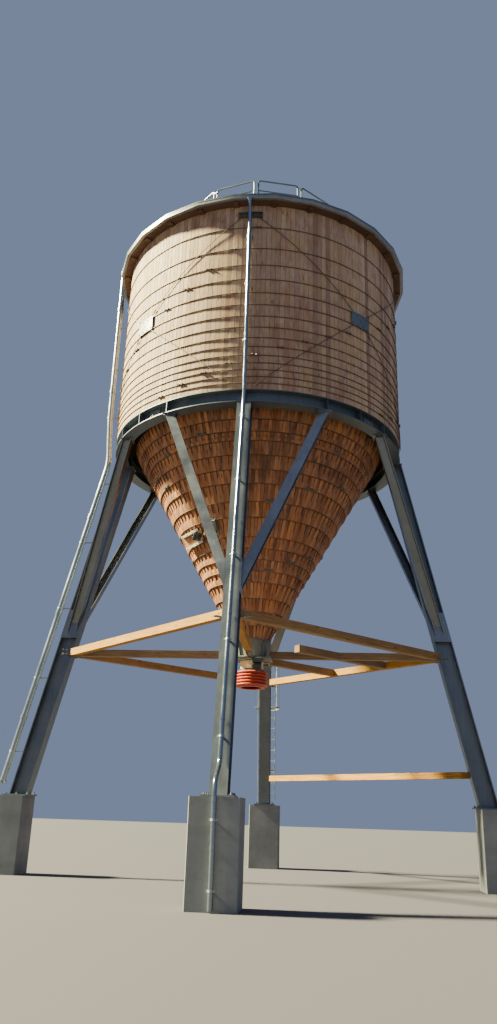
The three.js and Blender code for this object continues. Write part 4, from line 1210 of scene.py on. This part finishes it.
FLANGE_THICK = 0.012
HIGH_FLANGE = CONE_FOOT - 0.016
FLANGE_BOLTS = 16
FUNNEL_LEAN = 13
bm = bmesh.new()
add_ring(bm, [(0.300, GATE_TOP), (0.320, GATE_TOP), (CONE_FOOT_RADIUS, CONE_FOOT - 0.006),
              (CONE_FOOT_RADIUS, CONE_FOOT), (0.390, CONE_FOOT)], steps=64)
add_ring(bm, [(0.314, GATE_TOP), (0.372, GATE_TOP), (0.372, GATE_TOP + FLANGE_THICK),
              (0.320, GATE_TOP + FLANGE_THICK)], steps=64)
add_ring(bm, [(0.404, HIGH_FLANGE), (0.446, HIGH_FLANGE), (0.446, HIGH_FLANGE + FLANGE_THICK),
              (0.408, HIGH_FLANGE + FLANGE_THICK)], steps=64)
for turn in (45, 135, 225, 315):
    rib = around(turn, 0.392, (GATE_TOP + CONE_FOOT) / 2)
    add_block(bm, turned(rib, FUNNEL_LEAN, "X"), 0.010, 0.05, CONE_FOOT - GATE_TOP - 0.05)
finish_piece("outlet_funnel", bm, OUTLET_STEEL, ["outlet_cone"])

bm = bmesh.new()
for i in range(FLANGE_BOLTS):
    turn = 360 / FLANGE_BOLTS * i
    add_bolt(bm, around(turn, 0.352, GATE_TOP + FLANGE_THICK), across=0.018, grip=0.011)
    add_bolt(bm, turned(around(turn + 11, 0.428, HIGH_FLANGE), 180, "X"), across=0.018, grip=0.011)
finish_piece("outlet_bolts", bm, BOLT_STEEL)

# %% Slide gate
GATE_LENGTH = 0.94
GATE_DEPTH = 0.66
GATE_RAIL = 0.04
GUIDE_BACK = 0.81
ARM_LENGTH = 0.73
gate_middle = (GATE_FOOT + GATE_TOP) / 2
arm_middle = -(GATE_DEPTH + ARM_LENGTH) / 2
gate_blocks = [
    (0, -GATE_DEPTH / 2 + 0.03, GATE_LENGTH, 0.06, GATE_RAIL, 0.004),
    (0, GATE_DEPTH / 2 - 0.03, GATE_LENGTH, 0.06, GATE_RAIL, 0.004),
    (-GATE_LENGTH / 2 + 0.03, 0, 0.06, GATE_DEPTH - 0.12, GATE_RAIL, 0.004),
    (GATE_LENGTH / 2 - 0.03, 0, 0.06, GATE_DEPTH - 0.12, GATE_RAIL, 0.004),
    (0, 0, GATE_LENGTH - 0.13, GATE_DEPTH - 0.13, 0.012, 0),
    (-0.04, (GATE_DEPTH / 2 + GUIDE_BACK) / 2, 0.04, GUIDE_BACK - GATE_DEPTH / 2, GATE_RAIL, 0.004),
    (0.37, (GATE_DEPTH / 2 + GUIDE_BACK) / 2, 0.04, GUIDE_BACK - GATE_DEPTH / 2, GATE_RAIL, 0.004),
    (0.165, GUIDE_BACK - 0.02, 0.37, 0.04, GATE_RAIL, 0.004),
    (0.165, 0.45, 0.36, 0.24, 0.010, 0),
    (-0.054, arm_middle, 0.012, ARM_LENGTH, GATE_RAIL, 0.002),
    (0.054, arm_middle, 0.012, ARM_LENGTH, GATE_RAIL, 0.002)]
bm = bmesh.new()
for x, y, width, depth, height, edge in gate_blocks:
    add_block(bm, at(x, y, gate_middle), width, depth, height, edge=edge)
add_block(bm, at(0, arm_middle, GATE_TOP - 0.005), 0.10, ARM_LENGTH, 0.008)
for y in (-0.265, -0.325):
    add_bolt(bm, turned(at(0, arm_middle + y, GATE_TOP - 0.010), 180, "X"), across=0.022)
finish_piece("gate_frame", bm, OUTLET_STEEL, ["slide_gate"])

# The bolts at the front right would sit under the drive.
bm = bmesh.new()
for x, y in product(range(-4, 5), BOTH):
    if x == 4 or y > 0 or x < 0:
        place = at(x * 0.108, y * (GATE_DEPTH / 2 - 0.02), GATE_TOP)
        add_bolt(bm, place, across=0.017, grip=0.010)
finish_piece("gate_bolts", bm, BOLT_STEEL)

# %% Drive
low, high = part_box("gate_drive")
middle = (low + high) / 2
size = high - low
MOTOR_AXIS = low.z + 0.072
FIN_PITCH = 0.021
bm = bmesh.new()
add_block(bm, at(middle.x, middle.y, high.z - 0.055), size.x, size.y, 0.11, edge=0.008)
add_rod(bm, lying(at(middle.x + 0.004, middle.y, MOTOR_AXIS)), 0.070, size.x - 0.03, sides=24)
for i in range(9):
    add_rod(bm, lying(at(middle.x - 0.085 + FIN_PITCH * i, middle.y, MOTOR_AXIS)), 0.0785, 0.006, sides=24)
add_block(bm, at(middle.x - 0.04, low.y + 0.018, high.z - 0.06), 0.11, 0.034, 0.075, edge=0.005)
add_rod(bm, lying(at(high.x - 0.012, middle.y, high.z - 0.055)), 0.016, 0.022)
finish_piece("gate_motor", bm, MOTOR_PAINT, ["gate_drive"])

# %% [markdown]
# ### Sleeve and bellows
# The sleeve is a short tube of filter cloth with soft vertical pleats, held by a band at each end. The
# bellows are coated cloth in five folds, and each fold sags a little between its hoops.

# %% Sleeve
SLEEVE_RADIUS = 0.28
SLEEVE_LENGTH = GATE_FOOT - BELLOWS_HEAD
BELLOWS_NECK = 0.325
BELLOWS_BORE = 0.24
HEAD_BAND = 0.012
bm = bmesh.new()
sleeve_heights = [BELLOWS_HEAD + SLEEVE_LENGTH * i / 8 for i in range(9)]
add_ring(bm, [(SLEEVE_RADIUS - 0.006, z) for z in sleeve_heights]
         + [(SLEEVE_RADIUS - 0.010, z) for z in reversed(sleeve_heights)])
for vert in bm.verts:
    turn = math.atan2(vert.co.x, -vert.co.y)
    share = (vert.co.z - BELLOWS_HEAD) / SLEEVE_LENGTH
    slack = math.sin(math.pi * share)
    pleats = 0.018 * math.sin(11 * turn) + 0.010 * math.sin(5 * turn + 4 * share)
    pull = 1 + slack * (pleats - 0.02)
    vert.co.x *= pull
    vert.co.y *= pull
finish_piece("filter_sleeve", bm, SLEEVE_CLOTH, ["dust_sleeve"], smooth=80)

bm = bmesh.new()
for height in (GATE_FOOT - 0.03, BELLOWS_HEAD + 0.03):
    add_band(bm, SLEEVE_RADIUS - 0.005, SLEEVE_RADIUS, height - 0.012, height + 0.012)
    add_block(bm, around(12, SLEEVE_RADIUS + 0.008, height), 0.05, 0.016, 0.018, edge=0.003)
add_band(bm, BELLOWS_BORE + 0.02, BELLOWS_NECK + 0.01, BELLOWS_HEAD - HEAD_BAND, BELLOWS_HEAD)
finish_piece("outlet_bands", bm, OUTLET_STEEL)

# %% Bellows
HEM_TOP = BELLOWS_FOOT + 0.016
FOLDS = 5
FOLD_HEIGHT = (BELLOWS_HEAD - HEAD_BAND - HEM_TOP) / FOLDS
BELLOWS_RADIUS = 0.386
FOLD_OUTLINE = [(0.0, BELLOWS_NECK), (0.16, 0.350), (0.34, 0.376), (0.46, 0.385), (0.54, BELLOWS_RADIUS),
                (0.62, 0.384), (0.76, 0.372), (0.9, 0.343)]
bm = bmesh.new()
add_band(bm, BELLOWS_BORE, BELLOWS_NECK, BELLOWS_FOOT, HEM_TOP)
finish_piece("bellows_hem", bm, BELLOWS_CLOTH)

bm = bmesh.new()
line = [(out, HEM_TOP + (i + share) * FOLD_HEIGHT) for i in range(FOLDS) for share, out in FOLD_OUTLINE]
line.append((BELLOWS_NECK, BELLOWS_HEAD - HEAD_BAND))
add_ring(bm, line + [(out - 0.006, height) for out, height in reversed(line)])
for vert in bm.verts:
    turn = math.atan2(vert.co.x, -vert.co.y)
    distance = math.hypot(vert.co.x, vert.co.y)
    slack = max(0.0, (BELLOWS_RADIUS - distance) / (BELLOWS_RADIUS - BELLOWS_NECK))
    vert.co.z += 0.0035 * slack * (1 - slack) * 4 * math.sin(14 * turn + 20 * vert.co.z)
finish_piece("folded_bellows", bm, BELLOWS_CLOTH, ["loading_bellows"], smooth=60)

# %% [markdown]
# ## Fixings
# Anchor bolts hold the legs on their pedestals, end plates and bolts hold the struts, and short steel
# angles with coach bolts carry the timber ties.

# %% Feet of the legs
FOOT_PLATE = 0.03
bm = bmesh.new()
for leg, x, y in product(range(4), (-0.22, 0.22), (-0.255, 0.0, 0.255)):
    place = shifted(around(90 * leg, leg_radius(PEDESTAL_TOP), PEDESTAL_TOP + FOOT_PLATE), x=x, y=y)
    add_block(bm, shifted(place, z=0.006), 0.07, 0.07, 0.012, edge=0.003)
    add_rod(bm, shifted(place, z=0.022), 0.020, 0.020, sides=6)
    add_rod(bm, shifted(place, z=0.038), 0.010, 0.020, sides=10)
finish_piece("anchor_bolts", bm, ANCHOR_STEEL)

# %% Bolts at the heads of the struts
STRUT_SPREAD = 30
bm = bmesh.new()
for leg, hand in product(range(4), BOTH):
    head = around(90 * leg + hand * STRUT_SPREAD, RING_LINE, RING_FOOT - 0.014).translation
    flat = turned(Matrix.Translation(head), 90 * leg, "Z")
    for x, y in product((-0.115, 0.115), (-0.105, 0.105)):
        add_bolt(bm, turned(shifted(flat, x=x, y=y), 180, "X"), across=0.03, grip=0.02)
finish_piece("strut_bolts", bm, BOLT_STEEL)

# %% Angles and bolts of the ties
TIE_MIDDLE = (TIE_FOOT + TIE_TOP) / 2
ANGLE_THICK = 0.010
bm = bmesh.new()
angle_bm = bmesh.new()
for leg, hand in product(range(4), BOTH):
    place = around(90 * leg, leg_radius(TIE_MIDDLE) - 0.11, TIE_MIDDLE)
    tie = turned(shifted(place, x=hand * (LEG_WIDTH / 2 + 0.10)), -hand * 45, "Z")
    under = shifted(tie, z=TIE_FOOT - TIE_MIDDLE)
    add_block(angle_bm, shifted(under, z=-ANGLE_THICK / 2), 0.24, 0.12, ANGLE_THICK, edge=0.002)
    for x in (-0.07, 0.05):
        add_bolt(bm, turned(shifted(under, x=x, z=-ANGLE_THICK), 180, "X"), across=0.024)
    for x, z in product((-0.02, 0.07), (-0.045, 0.045)):
        add_bolt(bm, facing(shifted(tie, x=hand * x, y=-0.081, z=z)), across=0.022)
finish_piece("tie_bolts", bm, BOLT_STEEL)
finish_piece("tie_angles", angle_bm, FRAME_STEEL)

# %% [markdown]
# ## Fittings on the hopper
# A rattle box is bolted to the front left of the hopper: backing boards, two channels across them and
# the motor between the channels. A level sensor in a plain box sits beside the front leg.

# %% Rattle box
VIBRATOR_TURN = -52.5
VIBRATOR_LEVEL = 7.47
CHANNEL_LENGTH = 0.80


def on_hopper(azimuth, height, aside=0.0):
    """A place on the outside of the planks, its Z along the slope and its -Y out of it."""
    place = shifted(around(azimuth, cone_radius(height) + 0.014, height), x=aside)
    return turned(place, math.degrees(CONE_LEAN), "X")


base = on_hopper(VIBRATOR_TURN, VIBRATOR_LEVEL)
bm = bmesh.new()
for z in (-0.12, 0.0, 0.12):
    add_short_board(bm, shifted(base, y=-0.008, z=z), CHANNEL_LENGTH, 0.014, 0.117, edge=0.003)
finish_piece("vibrator_backing", bm, HOPPER_BOARDS)

bm = bmesh.new()
for z in (-0.148, 0.148):
    add_block(bm, shifted(base, y=-0.070, z=z), CHANNEL_LENGTH, 0.006, 0.056)
    for side_z in (-0.025, 0.025):
        add_block(bm, shifted(base, y=-0.042, z=z + side_z), CHANNEL_LENGTH, 0.056, 0.006)
    for x in (-0.34, -0.12, 0.12, 0.34):
        add_bolt(bm, facing(shifted(base, x=x, y=-0.073, z=z)), across=0.026)
for x in (0.17, 0.37):
    add_block(bm, shifted(base, x=x, y=-0.035), 0.010, 0.055, 0.22)
finish_piece("vibrator_frame", bm, RAIL_PAINT, ["vibrator"])

bm = bmesh.new()
motor = shifted(base, x=0.27, y=-0.085)
# Offsets along the motor, radii and lengths: the housing, its two end bells and six fins.
motor_rods = [(0, 0.058, 0.21), (-0.105, 0.066, 0.022), (0.105, 0.066, 0.022)]
motor_rods += [(-0.07 + 0.028 * i, 0.063, 0.006) for i in range(6)]
for x, radius, length in motor_rods:
    add_rod(bm, lying(shifted(motor, x=x)), radius, length, sides=24)
add_block(bm, shifted(motor, y=-0.05, z=0.045), 0.08, 0.05, 0.06, edge=0.006)
finish_piece("vibrator_motor", bm, MOTOR_PAINT)

# %% Level sensor
SENSOR_TURN = -22.5
SENSOR_LEVEL = 7.57
base = on_hopper(SENSOR_TURN, SENSOR_LEVEL, aside=-0.12)
bm = bmesh.new()
add_block(bm, shifted(base, y=-0.012), 0.15, 0.02, 0.41, edge=0.003)
add_block(bm, shifted(base, y=-0.056, z=0.06), 0.14, 0.07, 0.24, edge=0.010)
add_block(bm, shifted(base, y=-0.093, z=0.06), 0.126, 0.010, 0.225, edge=0.004)
for x, z in product((-0.05, 0.05), (-0.035, 0.155)):
    add_bolt(bm, facing(shifted(base, x=x, y=-0.098, z=z)), across=0.014, grip=0.006)
finish_piece("sensor_box", bm, OUTLET_STEEL, ["level_sensor"])

bm = bmesh.new()
add_rod(bm, shifted(base, y=-0.056, z=-0.075), 0.022, 0.05, sides=14)
add_rod(bm, shifted(base, y=-0.056, z=-0.115), 0.030, 0.05, sides=6)
add_rod(bm, facing(shifted(base, y=-0.026, z=-0.155)), 0.026, 0.02, sides=16)
finish_piece("sensor_gland", bm, GALVANISED)
